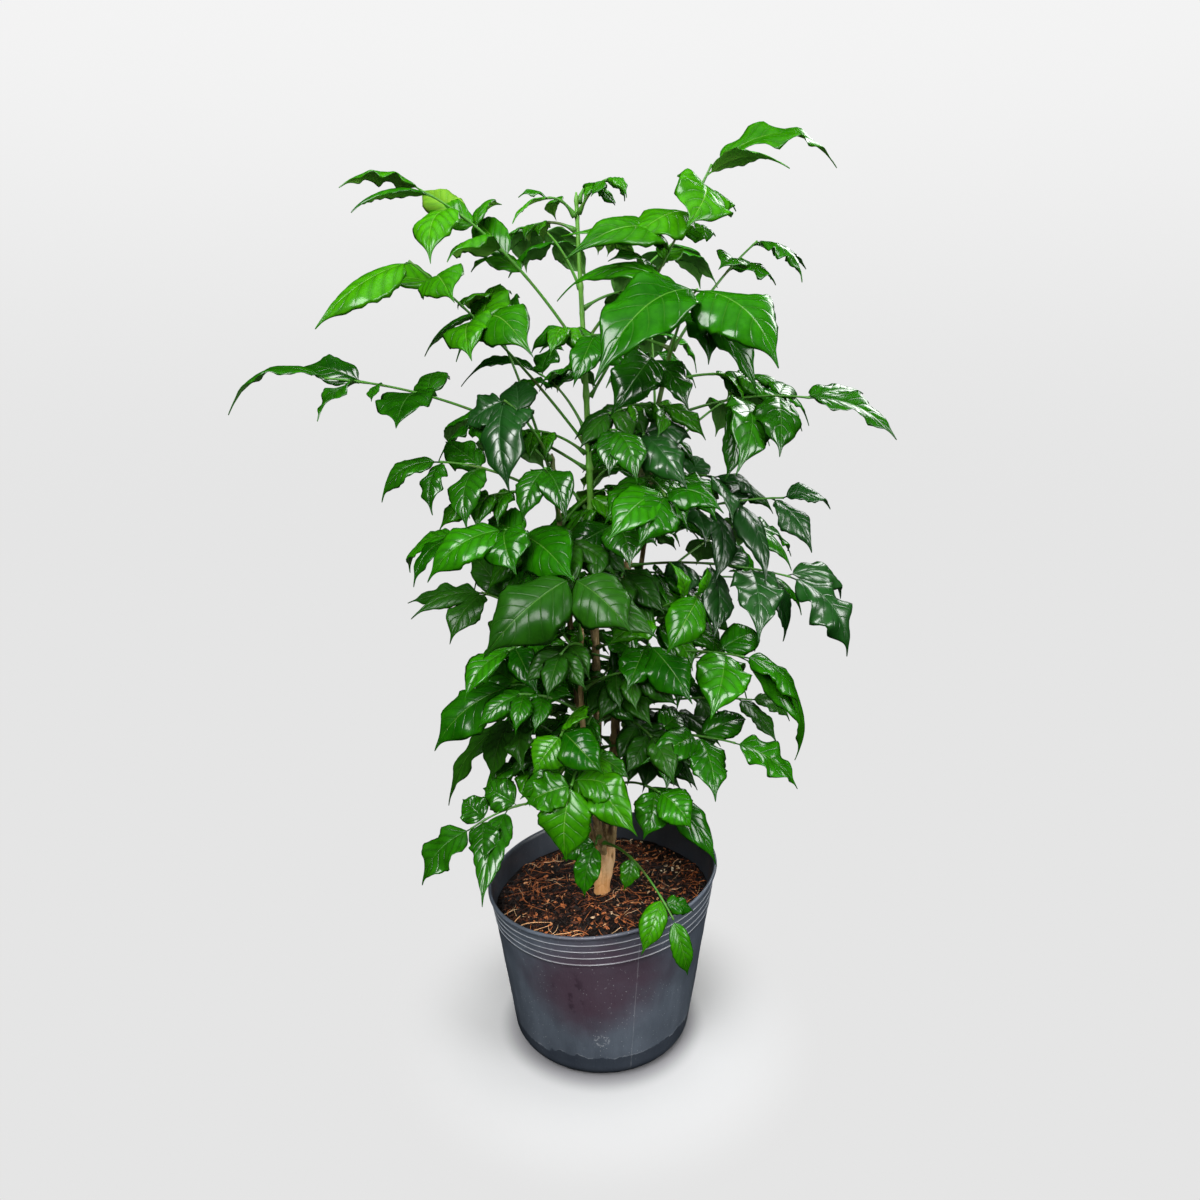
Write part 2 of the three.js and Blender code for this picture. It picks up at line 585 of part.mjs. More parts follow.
const plant = new THREE.Group();
plant.add(namedMesh("pot", pot(), BLACK_POLYTHENE));
plant.add(namedMesh("soil", soil(), POTTING_SOIL));
plant.add(namedMesh("trunk", trunk(0), BARK));
for (const [name, shape] of Object.entries(STEMS)) {
  plant.add(namedMesh(`stem_${name}`, stem(shape), GREEN_STEM));
}
for (const plan of LEAVES) {
  plant.add(namedMesh(`leaf_${plan.name}`, compoundLeaf(plan), LEAF_GREEN));
}

export default plant;
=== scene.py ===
"""A potted china doll plant: its soft nursery pot, soil, trunk, stems and glossy divided leaves.

Lengths are in millimetres until a mesh is made, and in metres from there on. +Z is up, the origin is
the middle of the pot's underside, and -Y is the front of the plant, towards the light it grew in.
"""
import logging
from collections.abc import Mapping, Sequence
from dataclasses import dataclass, field, replace
from enum import Enum
from functools import partialmethod
from typing import ClassVar

import bpy
import numpy as np
from bpy.types import ColorRamp, Material, Node, NodeSocket, NodeTree, Object
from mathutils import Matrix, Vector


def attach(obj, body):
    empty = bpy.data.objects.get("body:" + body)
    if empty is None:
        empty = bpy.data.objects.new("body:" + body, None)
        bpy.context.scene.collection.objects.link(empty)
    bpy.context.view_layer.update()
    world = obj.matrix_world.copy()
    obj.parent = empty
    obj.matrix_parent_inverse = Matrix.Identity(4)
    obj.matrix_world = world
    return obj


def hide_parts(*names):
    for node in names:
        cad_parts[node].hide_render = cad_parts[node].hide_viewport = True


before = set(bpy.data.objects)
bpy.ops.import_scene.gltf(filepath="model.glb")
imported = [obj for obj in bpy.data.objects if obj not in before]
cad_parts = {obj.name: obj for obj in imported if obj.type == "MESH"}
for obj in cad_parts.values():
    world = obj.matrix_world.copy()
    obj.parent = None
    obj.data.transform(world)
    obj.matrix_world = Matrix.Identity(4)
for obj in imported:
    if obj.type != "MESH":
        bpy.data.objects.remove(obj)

Array = np.ndarray
Pair = tuple[float, float]
Point = tuple[float, float, float]
Colour = tuple[float, float, float, float]
Stops = Sequence[tuple[float, str]]
Chance = np.random.Generator

MM = 0.001
BODY = "root"
UP = np.array((0.0, 0.0, 1.0))
FRONT = np.array((0.0, -1.0, 0.0))
TURN = 2 * np.pi
GOLDEN_ANGLE = 137.5
LATTICE = 64

log = logging.getLogger("china_doll")


# ---------------- numbers and curves


def unit(vectors: Array) -> Array:
    """Scales each vector to length 1."""
    return vectors / np.linalg.norm(vectors, axis=-1, keepdims=True)


def bell(distance: Array, reach: float) -> Array:
    """A rounded bump, 1 at no distance: e to the power of minus the square of distance over reach."""
    return np.exp(-((distance / reach) ** 2))


def turns(count: int) -> Array:
    """Angles evenly round a circle, from 0, in radians."""
    return TURN * np.arange(count) / count


def level_way(turn: Array | float) -> Array:
    """The level vector of length 1 at an angle: (cos a, sin a, 0)."""
    return np.stack((np.cos(turn), np.sin(turn), np.zeros_like(turn)), -1)


def length_of(line: Array) -> float:
    """The length of a line through points."""
    return float(np.linalg.norm(np.diff(line, axis=0), axis=1).sum())


def profile(radius: Array, height: Array | float) -> Array:
    """Part of a half section, as (radius, height) rows."""
    return np.stack(np.broadcast_arrays(radius, height), -1)


def read_line(places: Array | float, stations: Array, line: Array) -> Array:
    """Reads a line's points, which stand at stations, at other places: straight between two points."""
    return np.stack([np.interp(places, stations, line[:, axis]) for axis in range(3)], axis=-1)


def bezier(start: Array, knee: Array, end: Array, shares: Array) -> Array:
    """Points of a curve bent by one knee: (1-t)^2 start + 2t(1-t) knee + t^2 end.

    Args:
        start: Its first point.
        knee: The point that it bends towards.
        end: Its last point.
        shares: The places t along it, from 0 to 1.

    Returns:
        One point a place.
    """
    t = np.asarray(shares, float)[:, None]
    return (1 - t) ** 2 * start + 2 * t * (1 - t) * knee + t**2 * end


def smooth_table(places: Array, stations: Array, values: Array) -> Array:
    """Reads a smooth curve through a short table, by cubics that share their slopes.

    Between two stations, with f the share of the way and s0, s1 the slopes, the value is
    (2f^3-3f^2+1) a + (f^3-2f^2+f) s0 w + (3f^2-2f^3) b + (f^3-f^2) s1 w.

    Args:
        places: Where to read it.
        stations: The table's places, rising.
        values: The table's values.

    Returns:
        One value a place.
    """
    slopes = np.gradient(values, stations)
    low = np.clip(np.searchsorted(stations, places, side="right") - 1, 0, len(stations) - 2)
    width = stations[low + 1] - stations[low]
    f = (places - stations[low]) / width
    near = (2 * f**3 - 3 * f**2 + 1) * values[low] + (f**3 - 2 * f**2 + f) * slopes[low] * width
    return near + (3 * f**2 - 2 * f**3) * values[low + 1] + (f**3 - f**2) * slopes[low + 1] * width


def rumple(x: Array, y: Array, seed: int, around: int = LATTICE) -> Array:
    """Smooth chance heights from -1 to 1 over a square lattice with a step of 1.

    Each square blends its four corners' draws with the weight 3f^2-2f^3 both ways. Along y the
    heights repeat after LATTICE squares.

    Args:
        x: Places along the lattice's first side.
        y: Places along its second side.
        seed: Which draw of heights to use.
        around: After how many squares x repeats, so that a strip can close on itself.

    Returns:
        The heights, in the shape of x and y.
    """
    draws = np.random.default_rng(seed).uniform(-1, 1, (around, LATTICE))
    x, y = np.broadcast_arrays(x, y)
    column, row = np.floor(x).astype(int), np.floor(y).astype(int)
    f, g = x - column, y - row
    f, g = f * f * (3 - 2 * f), g * g * (3 - 2 * g)

    def corner(right: int, above: int) -> Array:
        """The draw at one corner of each square."""
        return draws[(column + right) % around, (row + above) % LATTICE]

    low = corner(0, 0) * (1 - f) + corner(1, 0) * f
    high = corner(0, 1) * (1 - f) + corner(1, 1) * f
    return low * (1 - g) + high * g


@dataclass(frozen=True)
class Route:
    """A line in space, kept as points an equal length apart."""

    steps: ClassVar[int] = 600
    points: Array

    @classmethod
    def through(cls, posts: Sequence[Sequence[float]]) -> "Route":
        """Lays a smooth line through a few posts.

        Between two posts it is a cubic whose end slopes are half the way between their neighbours.
        The first and last posts have a neighbour mirrored beyond them. The cubics are read four times
        as finely as the line is kept.

        Args:
            posts: The points it passes through.

        Returns:
            The route.
        """
        p = np.asarray(posts, float)
        p = np.vstack((2 * p[0] - p[1], p, 2 * p[-1] - p[-2]))
        t = np.linspace(0, len(posts) - 1, 4 * cls.steps)
        i = np.minimum(t.astype(int), len(posts) - 2)
        f = (t - i)[:, None]
        before, a, b, after = p[i], p[i + 1], p[i + 2], p[i + 3]
        leave, arrive = 0.5 * (b - before), 0.5 * (after - a)
        line = a + leave * f + (3 * (b - a) - 2 * leave - arrive) * f**2
        line = line + (2 * (a - b) + leave + arrive) * f**3
        run = np.concatenate(([0], np.cumsum(np.linalg.norm(np.diff(line, axis=0), axis=1))))
        return cls(read_line(np.linspace(0, run[-1], cls.steps + 1), run, line))

    @property
    def length(self) -> float:
        """Its length."""
        return length_of(self.points)

    @property
    def shares(self) -> Array:
        """The share of its length at each point, from 0 to 1."""
        return np.linspace(0, 1, len(self.points))

    def at(self, shares: Array | float) -> Array:
        """The points at shares of its length."""
        return read_line(shares, self.shares, self.points)

    def heading(self, shares: Array | float) -> Array:
        """The way it runs at shares of its length, as vectors of length 1."""
        return unit(read_line(shares, self.shares, np.gradient(self.points, axis=0)))


# ---------------- meshes


@dataclass(frozen=True)
class Patch:
    """One closed part of a mesh.

    Attributes:
        points: x, y and z of each point, in millimetres.
        quads: The points of each four-sided face.
        triangles: The points of each three-sided face.
        chart: Each point's place on the surface, from 0 to 1 both ways.
        marks: Values that its points carry for its finish, by name.
        finish: Which of the piece's finishes it has.
    """

    points: Array
    quads: Array
    triangles: Array
    chart: Array
    marks: Mapping[str, Array | float] = field(default_factory=dict)
    finish: int = 0

    def mark(self, name: str) -> Array:
        """The values of one mark, one a point, or 0 where it has none."""
        return np.broadcast_to(self.marks.get(name, 0.0), len(self.points))


def closed_grid(rows: int, around: int) -> tuple[Array, Array]:
    """Faces of a grid that closes on itself sideways and has a pole at each end.

    The grid's points come row by row, then the first pole and the last one. Where the points of a
    row run anticlockwise as seen from the next row, the faces point outwards.

    Args:
        rows: How many rows it has.
        around: How many points are in a row.

    Returns:
        The quads between rows and the triangles to the poles.
    """
    here = np.arange(around)
    following = (here + 1) % around
    start = around * np.arange(rows - 1)[:, None]
    quads = np.stack((start + here, start + following, start + around + following, start + around + here), -1)
    first, last, top = rows * around, rows * around + 1, (rows - 1) * around
    foot = np.stack((np.full(around, first), following, here), -1)
    head = np.stack((np.full(around, last), top + here, top + following), -1)
    return quads.reshape(-1, 4), np.concatenate((foot, head))


def closed_patch(
    rings: Array, poles: Array, chart: Array, marks: Mapping[str, Array] | None = None
) -> Patch:
    """Makes a patch of a closed grid.

    Args:
        rings: The grid's points, shaped (rows, around, 3).
        poles: The two end points.
        chart: Each grid point's place on the surface, shaped (rows, around, 2).
        marks: Values of the grid points, each shaped (rows, around).

    Returns:
        The patch. A pole takes the chart and the marks of its nearest row.
    """
    quads, triangles = closed_grid(*rings.shape[:2])

    def with_poles(values: Array) -> Array:
        """Appends the poles' values to the grid's."""
        flat = values.reshape(-1, *values.shape[2:])
        return np.concatenate((flat, values[[0, -1], 0]))

    points = np.concatenate((rings.reshape(-1, 3), poles))
    carried = {name: with_poles(np.broadcast_to(v, rings.shape[:2])) for name, v in (marks or {}).items()}
    return Patch(points, quads, triangles, with_poles(chart), carried)


def tube(
    line: Array, heading: Array, radii: Array, sides: int, aside: Array,
    marks: Mapping[str, Array] | None = None,
) -> Patch:
    """Carries a round profile along a line: line + r (cos a across + sin a over).

    Args:
        line: The points it follows.
        heading: The way the line runs at each.
        radii: The radius at each point, or at each point and side.
        sides: How many points are round it.
        aside: A direction that the line never runs along.
        marks: Values for its finish, shaped (rows, sides).

    Returns:
        The closed tube.
    """
    across = unit(np.cross(aside, heading))[:, None, :]
    over = np.cross(heading, across[:, 0])[:, None, :]
    turn = turns(sides)
    size = radii if np.ndim(radii) == 2 else radii[:, None]
    rings = line[:, None] + size[..., None] * (np.cos(turn)[:, None] * across + np.sin(turn)[:, None] * over)
    share = np.linspace(0, 1, len(line))
    chart = np.stack(np.broadcast_arrays(np.arange(sides) / sides, share[:, None]), -1)
    return closed_patch(rings, line[[0, -1]], chart, marks)


def turned(section: Array, segments: int) -> Array:
    """Turns a half section of (radius, height) rows round the upright axis: (r cos a, r sin a, h)."""
    radius, height, turn = section[:, :1], section[:, 1:], turns(segments)
    return np.stack(np.broadcast_arrays(radius * np.cos(turn), radius * np.sin(turn), height), -1)


def cast(
    name: str, patches: Sequence[Patch], finishes: Sequence[Material], soft: bool = True
) -> Object:
    """Makes one object of closed patches.

    Its faces come quads first, patch by patch, and then the triangles.

    Args:
        name: The piece's name.
        patches: Its parts.
        finishes: Its materials, which the patches number.
        soft: Whether its faces shade into each other.

    Returns:
        The object, in metres, in the scene.
    """
    offsets = np.cumsum([0] + [len(patch.points) for patch in patches])
    quads = np.concatenate([patch.quads + start for patch, start in zip(patches, offsets)])
    triangles = np.concatenate([patch.triangles + start for patch, start in zip(patches, offsets)])
    corners = np.concatenate((quads.ravel(), triangles.ravel())).astype(np.int32)
    starts = np.concatenate((4 * np.arange(len(quads)), 4 * len(quads) + 3 * np.arange(len(triangles))))
    worn = [np.full(len(patch.quads), patch.finish) for patch in patches]
    worn += [np.full(len(patch.triangles), patch.finish) for patch in patches]
    points = np.concatenate([patch.points for patch in patches]) * MM
    chart = np.concatenate([patch.chart for patch in patches])
    mesh = bpy.data.meshes.new(name)
    mesh.vertices.add(len(points))
    mesh.vertices.foreach_set("co", points.astype(np.float32).ravel())
    mesh.loops.add(len(corners))
    mesh.loops.foreach_set("vertex_index", corners)
    mesh.polygons.add(len(starts))
    mesh.polygons.foreach_set("loop_start", starts.astype(np.int32))
    mesh.polygons.foreach_set("material_index", np.concatenate(worn).astype(np.int32))
    mesh.polygons.foreach_set("use_smooth", np.full(len(starts), soft))
    for finish in finishes:
        mesh.materials.append(finish)
    mesh.update(calc_edges=True)
    layer = mesh.uv_layers.new(name="chart")
    layer.uv.foreach_set("vector", chart[corners].astype(np.float32).ravel())
    for mark in sorted({mark for patch in patches for mark in patch.marks}):
        values = np.concatenate([patch.mark(mark) for patch in patches])
        mesh.attributes.new(mark, "FLOAT", "POINT").data.foreach_set("value", values.astype(np.float32))
    piece = bpy.data.objects.new(name, mesh)
    bpy.context.scene.collection.objects.link(piece)
    return piece


def settle(piece: Object, slot: str, *nodes: str) -> None:
    """Rides a piece on the plant's one body and lets it stand for its CAD nodes.

    Args:
        piece: The piece.
        slot: Its material slot. It is not used.
        *nodes: The CAD nodes that it stands for, if any.
    """
    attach(piece, BODY)
    if nodes:
        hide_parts(*nodes)
    log.info("%s: %d faces, for %s", piece.name, len(piece.data.polygons), ", ".join(nodes) or "the look")


# ---------------- shader writing


def paint(code: str) -> Colour:
    """A screen colour, such as "3a7f22", as the linear colour that shaders use.

    A screen value c becomes c / 12.92 where it is dark, and ((c + 0.055) / 1.055)^2.4 elsewhere.

    Args:
        code: Red, green and blue, two hexadecimal figures each.

    Returns:
        The same colour, opaque.
    """
    parts = [int(code[i : i + 2], 16) / 255 for i in (0, 2, 4)]
    linear = [c / 12.92 if c <= 0.04045 else ((c + 0.055) / 1.055) ** 2.4 for c in parts]
    return (*linear, 1.0)


class Term:
    """A number that changes over a surface. Reckoning with it adds Math nodes.

    Its size is the number without its sign, and its wave is the sine of a number of radians.
    """

    def __init__(self, writer: "Writer", socket: NodeSocket) -> None:
        """Wraps the socket that gives the number."""
        self.writer = writer
        self.socket = socket

    def reckon(self, operation: str, *others: "Term | float", clamp: bool = False) -> "Term":
        """Adds one Math node, with this number first."""
        inputs = dict(enumerate((self, *others)))
        return self.writer.number("Math", {"operation": operation, "use_clamp": clamp}, inputs)

    __add__ = partialmethod(reckon, "ADD")
    __sub__ = partialmethod(reckon, "SUBTRACT")
    __mul__ = partialmethod(reckon, "MULTIPLY")
    __radd__ = __add__
    __rmul__ = __mul__
    __truediv__ = partialmethod(reckon, "DIVIDE")
    __pow__ = partialmethod(reckon, "POWER")
    size = partialmethod(reckon, "ABSOLUTE")
    wave = partialmethod(reckon, "SINE")

    def __rsub__(self, other: float) -> "Term":
        """A plain number less this."""
        return self * -1 + other

    def held(self) -> "Term":
        """This, kept from 0 to 1."""
        return self.reckon("ADD", 0.0, clamp=True)

    def step(self, low: float, high: float) -> "Term":
        """A smooth step, 0 where this is low and 1 where it is high. Low may be the greater."""
        inputs = {0: self, 1: min(low, high), 2: max(low, high), 3: float(low > high), 4: float(low < high)}
        return self.writer.number("MapRange", {"interpolation_type": "SMOOTHSTEP"}, inputs)


Value = Term | NodeSocket | float | Sequence[float] | str


class Writer:
    """Writes nodes into one node tree."""

    def __init__(self, tree: NodeTree) -> None:
        """Takes the tree to write in."""
        self.tree = tree

    def node(
        self, kind: str, settings: Mapping[str, object], inputs: Mapping[str | int, Value]
    ) -> Node:
        """Adds a node.

        Args:
            kind: Its type, without ShaderNode in front.
            settings: Its properties, set first. The stops of a ramp are (place, screen colour) pairs.
            inputs: What its sockets hold, by name or number.

        Returns:
            The node.
        """
        node = self.tree.nodes.new(f"ShaderNode{kind}")
        for name, setting in settings.items():
            if name == "stops":
                self.set_stops(node.color_ramp, setting)
            else:
                setattr(node, name, setting)
        for name, value in inputs.items():
            self.plug(value, node.inputs[name])
        return node

    def plug(self, value: Value, socket: NodeSocket) -> None:
        """Gives a socket a plain value or a screen colour, or links it to what gives a changing one.

        Args:
            value: The plain or changing value.
            socket: The socket.
        """
        if isinstance(value, Term):
            self.tree.links.new(value.socket, socket)
        elif isinstance(value, NodeSocket):
            self.tree.links.new(value, socket)
        else:
            socket.default_value = paint(value) if isinstance(value, str) else value

    @staticmethod
    def set_stops(ramp: ColorRamp, stops: Stops) -> None:
        """Gives a ramp its stops.

        Args:
            ramp: The ramp.
            stops: Its (place, screen colour) pairs, in order.
        """
        while len(ramp.elements) < len(stops):
            ramp.elements.new(0.5)
        for element, (place, code) in zip(ramp.elements, stops):
            element.position = place
            element.color = paint(code)

    def number(
        self, kind: str, settings: Mapping[str, object], inputs: Mapping[str | int, Value],
        output: int | str = 0,
    ) -> Term:
        """Adds a node and wraps one of its outputs."""
        return Term(self, self.node(kind, settings, inputs).outputs[output])

    def parted(self, vector: NodeSocket) -> list[Term]:
        """The x, y and z of a vector."""
        return [Term(self, output) for output in self.node("SeparateXYZ", {}, {0: vector}).outputs]

    def spot(self, kind: str) -> NodeSocket:
        """The place that is shaded, in one of the kinds of coordinate."""
        return self.node("TexCoord", {}, {}).outputs[kind]

    def ramp(self, share: Term, stops: Stops) -> NodeSocket:
        """Colours a number by a ramp of (place, screen colour) stops."""
        return self.node("ValToRGB", {"stops": stops}, {0: share}).outputs[0]


class Dress(Writer):
    """One material, and the nodes it is written with."""

    def __init__(self, name: str) -> None:
        """Starts an empty material with its shader and output.

        Args:
            name: The material's name.
        """
        self.material = bpy.data.materials.new(name)
        self.material.use_nodes = True
        super().__init__(self.material.node_tree)
        self.tree.nodes.clear()
        self.shader = self.node("BsdfPrincipled", {}, {})
        self.node("OutputMaterial", {}, {"Surface": self.shader.outputs[0]})

    def mark(self, name: str) -> Term:
        """A value that the mesh's points carry."""
        return self.number("Attribute", {"attribute_name": name}, {}, "Fac")

    def chart(self) -> tuple[Term, Term]:
        """The place on the surface: round or across it, and along it."""
        round_it, along_it, _ = self.parted(self.node("UVMap", {"uv_map": "chart"}, {}).outputs[0])
        return round_it, along_it

    def axes(self) -> list[Term]:
        """The place on the object as x, y and z, in metres."""
        return self.parted(self.spot("Object"))

    def place(self, stretch: Sequence[float] = (1.0, 1.0, 1.0)) -> NodeSocket:
        """The place on the object, in metres, stretched along each axis."""
        inputs = {0: self.spot("Object"), 1: stretch}
        return self.node("VectorMath", {"operation": "MULTIPLY"}, inputs).outputs[0]

    def cloud(
        self, scale: float, detail: float, stretch: Sequence[float] = (1.0, 1.0, 1.0), rough: float = 0.5
    ) -> Term:
        """Noise over the object, about 0.5 on the middle, with scale waves a metre."""
        inputs = {"Vector": self.place(stretch), "Scale": scale, "Detail": detail, "Roughness": rough}
        return self.number("TexNoise", {}, inputs)

    def cells(self, scale: float) -> Term:
        """The distance to the nearest of scattered spots, which lie about 1 over scale metres apart."""
        return self.number("TexVoronoi", {"feature": "F1"}, {"Vector": self.place(), "Scale": scale})

    def mixed(self, share: Term, first: Value, second: Value) -> NodeSocket:
        """Mixes two colours: the first where the share is 0, the second where it is 1."""
        return self.node("Mix", {"data_type": "RGBA"}, {0: share, 6: first, 7: second}).outputs[2]

    def bump(self, height: Term, depth: float, strength: float) -> NodeSocket:
        """A normal that follows a height of 0 to 1, which stands for this depth in metres."""
        inputs = {"Height": height, "Distance": depth, "Strength": strength}
        return self.node("Bump", {}, inputs).outputs[0]

    def wear(self, **inputs: Value) -> Material:
        """Finishes the material.

        Args:
            **inputs: What the shader's sockets hold, by their names with _ for a space.

        Returns:
            The material.
        """
        for name, value in inputs.items():
            self.plug(value, self.shader.inputs[name.replace("_", " ")])
        return self.material


# ---------------- finishes, whose colours are screen colours


class Tone(Enum):
    """How a leaf's green reads, from its age and the light it grew in."""

    LIME = "lime"
    BRIGHT = "bright"
    FRESH = "fresh"
    DEEP = "deep"
    SHADED = "shaded"
    OLIVE = "olive"


@dataclass(frozen=True)
class LeafFinish:
    """The glossy face, pale veins and dull back of a leaflet.

    Attributes:
        dark, light: Its darkest and lightest green.
        gloss: Roughness of its face.
        shine: How strongly it mirrors, with 0.5 for a common plastic.
    """

    dark: str
    light: str
    vein: str
    # The back's green is partly the leaflet's own paler underside and partly painted light, lightened to
    # stand in for light shining through the leaf.
    back: str
    gloss: float
    shine: float

    def dress(self, name: str) -> Material:
        """Writes the material.

        A vein leaves the midrib where v - slant |u|^1.15 is a whole count of the leaf's veins, with v
        the place along the blade and u across it, so it lies in the valleys of the quilted blade.

        Args:
            name: The material's name.

        Returns:
            The material.
        """
        d = Dress(name)
        across, along = d.chart()
        across = (across * 2 - 1).size()
        blade = (along - Blade.foot) / (1 - Blade.foot)
        count = (blade - (across**Blade.vein_curve) * Blade.vein_slant) * Blade.vein_pairs
        valley = 1 - ((count * np.pi).wave().size())
        rib = across.step(0.034, 0.008)
        vein = (valley**12) * across.step(1.0, 0.5)
        tone = d.mark("tone")
        blotch = d.cloud(45, 3)
        mottle = d.cloud(420, 2)
        crinkle = d.cloud(170, 3, rough=0.6)
        shade = (tone * 0.75 + blotch * 0.7 + crinkle * 0.5 - 0.5 + across.step(0.5, 1.0) * 0.14).held()
        face = d.mixed(shade, self.dark, self.light)
        face = d.mixed(mottle.step(0.45, 0.75) * 0.25, face, self.dark)
        # Painted shade: the green darkens towards the vein grooves of the quilted blade.
        face = d.mixed(valley.step(0.0, 0.9) * 0.42, face, self.dark)
        face = d.mixed(vein * 0.12, face, self.vein)
        face = d.mixed(rib * 0.27, face, self.vein)
        # The back colour is partly the real paler underside and partly painted light standing in for light
        # shining through the leaf.
        back = d.mixed((vein * 0.5 + rib * 0.8).held(), self.back, self.vein)
        under = d.mark("underside")
        pillow = (1 - valley) ** 0.6 * across.step(0.0, 0.15) * across.step(1.0, 0.75)
        pucker = d.cloud(60, 2, rough=0.35)
        height = pillow * 0.16 + pucker * 0.3 + crinkle * 0.1 + mottle * 0.05 - vein * 0.15 - rib * 0.3
        return d.wear(
            Base_Color=d.mixed(under.step(0.3, 0.7), face, back),
            Roughness=under * 0.3 + self.gloss + blotch * 0.1 - 0.05 + mottle * 0.04,
            Normal=d.bump(height, 0.0014, 0.8),
            Specular_IOR_Level=self.shine,
        )


LEAF_FINISHES: dict[Tone, LeafFinish] = {
    Tone.LIME: LeafFinish("3f7a14", "7ea02c", "c4d878", "8aa848", 0.32, 0.25),
    Tone.BRIGHT: LeafFinish("0b4a00", "3c8a02", "86b84a", "6aaa34", 0.22, 0.45),
    Tone.FRESH: LeafFinish("084000", "2c7e02", "6ea63e", "58983a", 0.2, 0.55),
    Tone.DEEP: LeafFinish("073400", "256c04", "5d8f42", "4a8430", 0.2, 0.75),
    Tone.SHADED: LeafFinish("0a340a", "1a5014", "5c8c58", "4c7a44", 0.29, 1.0),
    Tone.OLIVE: LeafFinish("0e3604", "24580a", "5a8838", "5c843a", 0.28, 0.28),
}


@dataclass(frozen=True)
class StalkFinish:
    """The green skin of a leaf stalk, flushed brown in places, with a dark grain."""

    green: str = "427c22"
    flush: str = "4e5226"
    grain: str = "264c12"

    def dress(self, name: str) -> Material:
        """Writes the material: green with a brown flush where a coarse noise is high.

        Args:
            name: The material's name.

        Returns:
            The material.
        """
        d = Dress(name)
        blotch = d.cloud(60, 3)
        grain = d.cloud(900, 2, (1, 1, 0.3))
        colour = d.mixed(blotch.step(0.5, 0.72) * 0.7, self.green, self.flush)
        colour = d.mixed(grain.step(0.5, 0.8) * 0.3, colour, self.grain)
        return d.wear(Base_Color=colour, Roughness=grain * 0.15 + 0.38, Normal=d.bump(grain, 0.0002, 0.5))


@dataclass(frozen=True)
class BarkFinish:
    """Tan, fissured bark, which turns to green skin higher up.

    Attributes:
        pale, mid, dark: The bark from its ridges down to its fissures.
        green, green_dark: The green skin, and its darker places.
        green_from, green_at: Heights in metres where it starts to turn green, and where it is all
            green. The trunk doesn't reach them.
        lichen: Its dull blotches.
        rusty: Its foot, which the soil has stained.
        rusty_at, rusty_to: Heights in metres where the stain is full, and where it ends.
        crest, faded: The tops of the ridges, and the dull streaks in the green skin.
    """

    pale: str = "ecc290"
    mid: str = "c4945e"
    dark: str = "3c2618"
    green: str = "55842c"
    green_dark: str = "3c6a1e"
    green_from: float = 9.0
    green_at: float = 10.0
    lichen: str = "6f5b3c"
    rusty: str = "cc8234"
    rusty_at: float = 0.138
    rusty_to: float = 0.158
    crest: str = "eccba0"
    faded: str = "7d8a4c"

    def dress(self, name: str) -> Material:
        """Writes the material: long fissures by stretched noise, and a ragged change to green.

        Args:
            name: The material's name.

        Returns:
            The material.
        """
        d = Dress(name)
        fissure = d.cloud(330, 4, (1, 1, 0.16), 0.6)
        grain = d.cloud(1500, 3, (1, 1, 0.35), 0.6)
        sunk = d.mark("sunk")
        blotch = d.cloud(55, 3)
        # Partly painted shade: the colour darkens where a point lies deep in a fissure (sunk), on top of the
        # bark's own darker fissure pattern.
        body = (fissure * 0.85 + grain * 0.35 - sunk * 0.6).held()
        stops = ((0.16, self.dark), (0.38, self.mid), (0.62, self.pale), (0.85, self.crest))
        colour = d.ramp(body, stops)
        colour = d.mixed(blotch.step(0.45, 0.7) * 0.22, colour, self.lichen)
        height = d.axes()[2]
        colour = d.mixed(height.step(self.rusty_to, self.rusty_at) * 0.6, colour, self.rusty)
        turning = (height + blotch * 0.16 - 0.08).step(self.green_from, self.green_at)
        skin = d.mixed(grain.step(0.4, 0.7) * 0.4, self.green, self.green_dark)
        skin = d.mixed(fissure.step(0.5, 0.75) * 0.35, skin, self.faded)
        relief = (fissure * 0.7 + grain * 0.3 - sunk * 0.4) * (1 - turning * 0.8)
        return d.wear(
            Base_Color=d.mixed(turning, colour, skin), Roughness=0.85 - turning * 0.4,
            Normal=d.bump(relief, 0.0008, 0.8),
        )


TRUNK_BARK = BarkFinish()
STEM_BARK = BarkFinish("8f7a50", "6b5434", "33261a", "47602c", "2f4a1c", green_from=0.4, green_at=0.56)
YOUNG_BARK = replace(STEM_BARK, green="5a962e", green_dark="40761e", green_from=0.36, green_at=0.47)


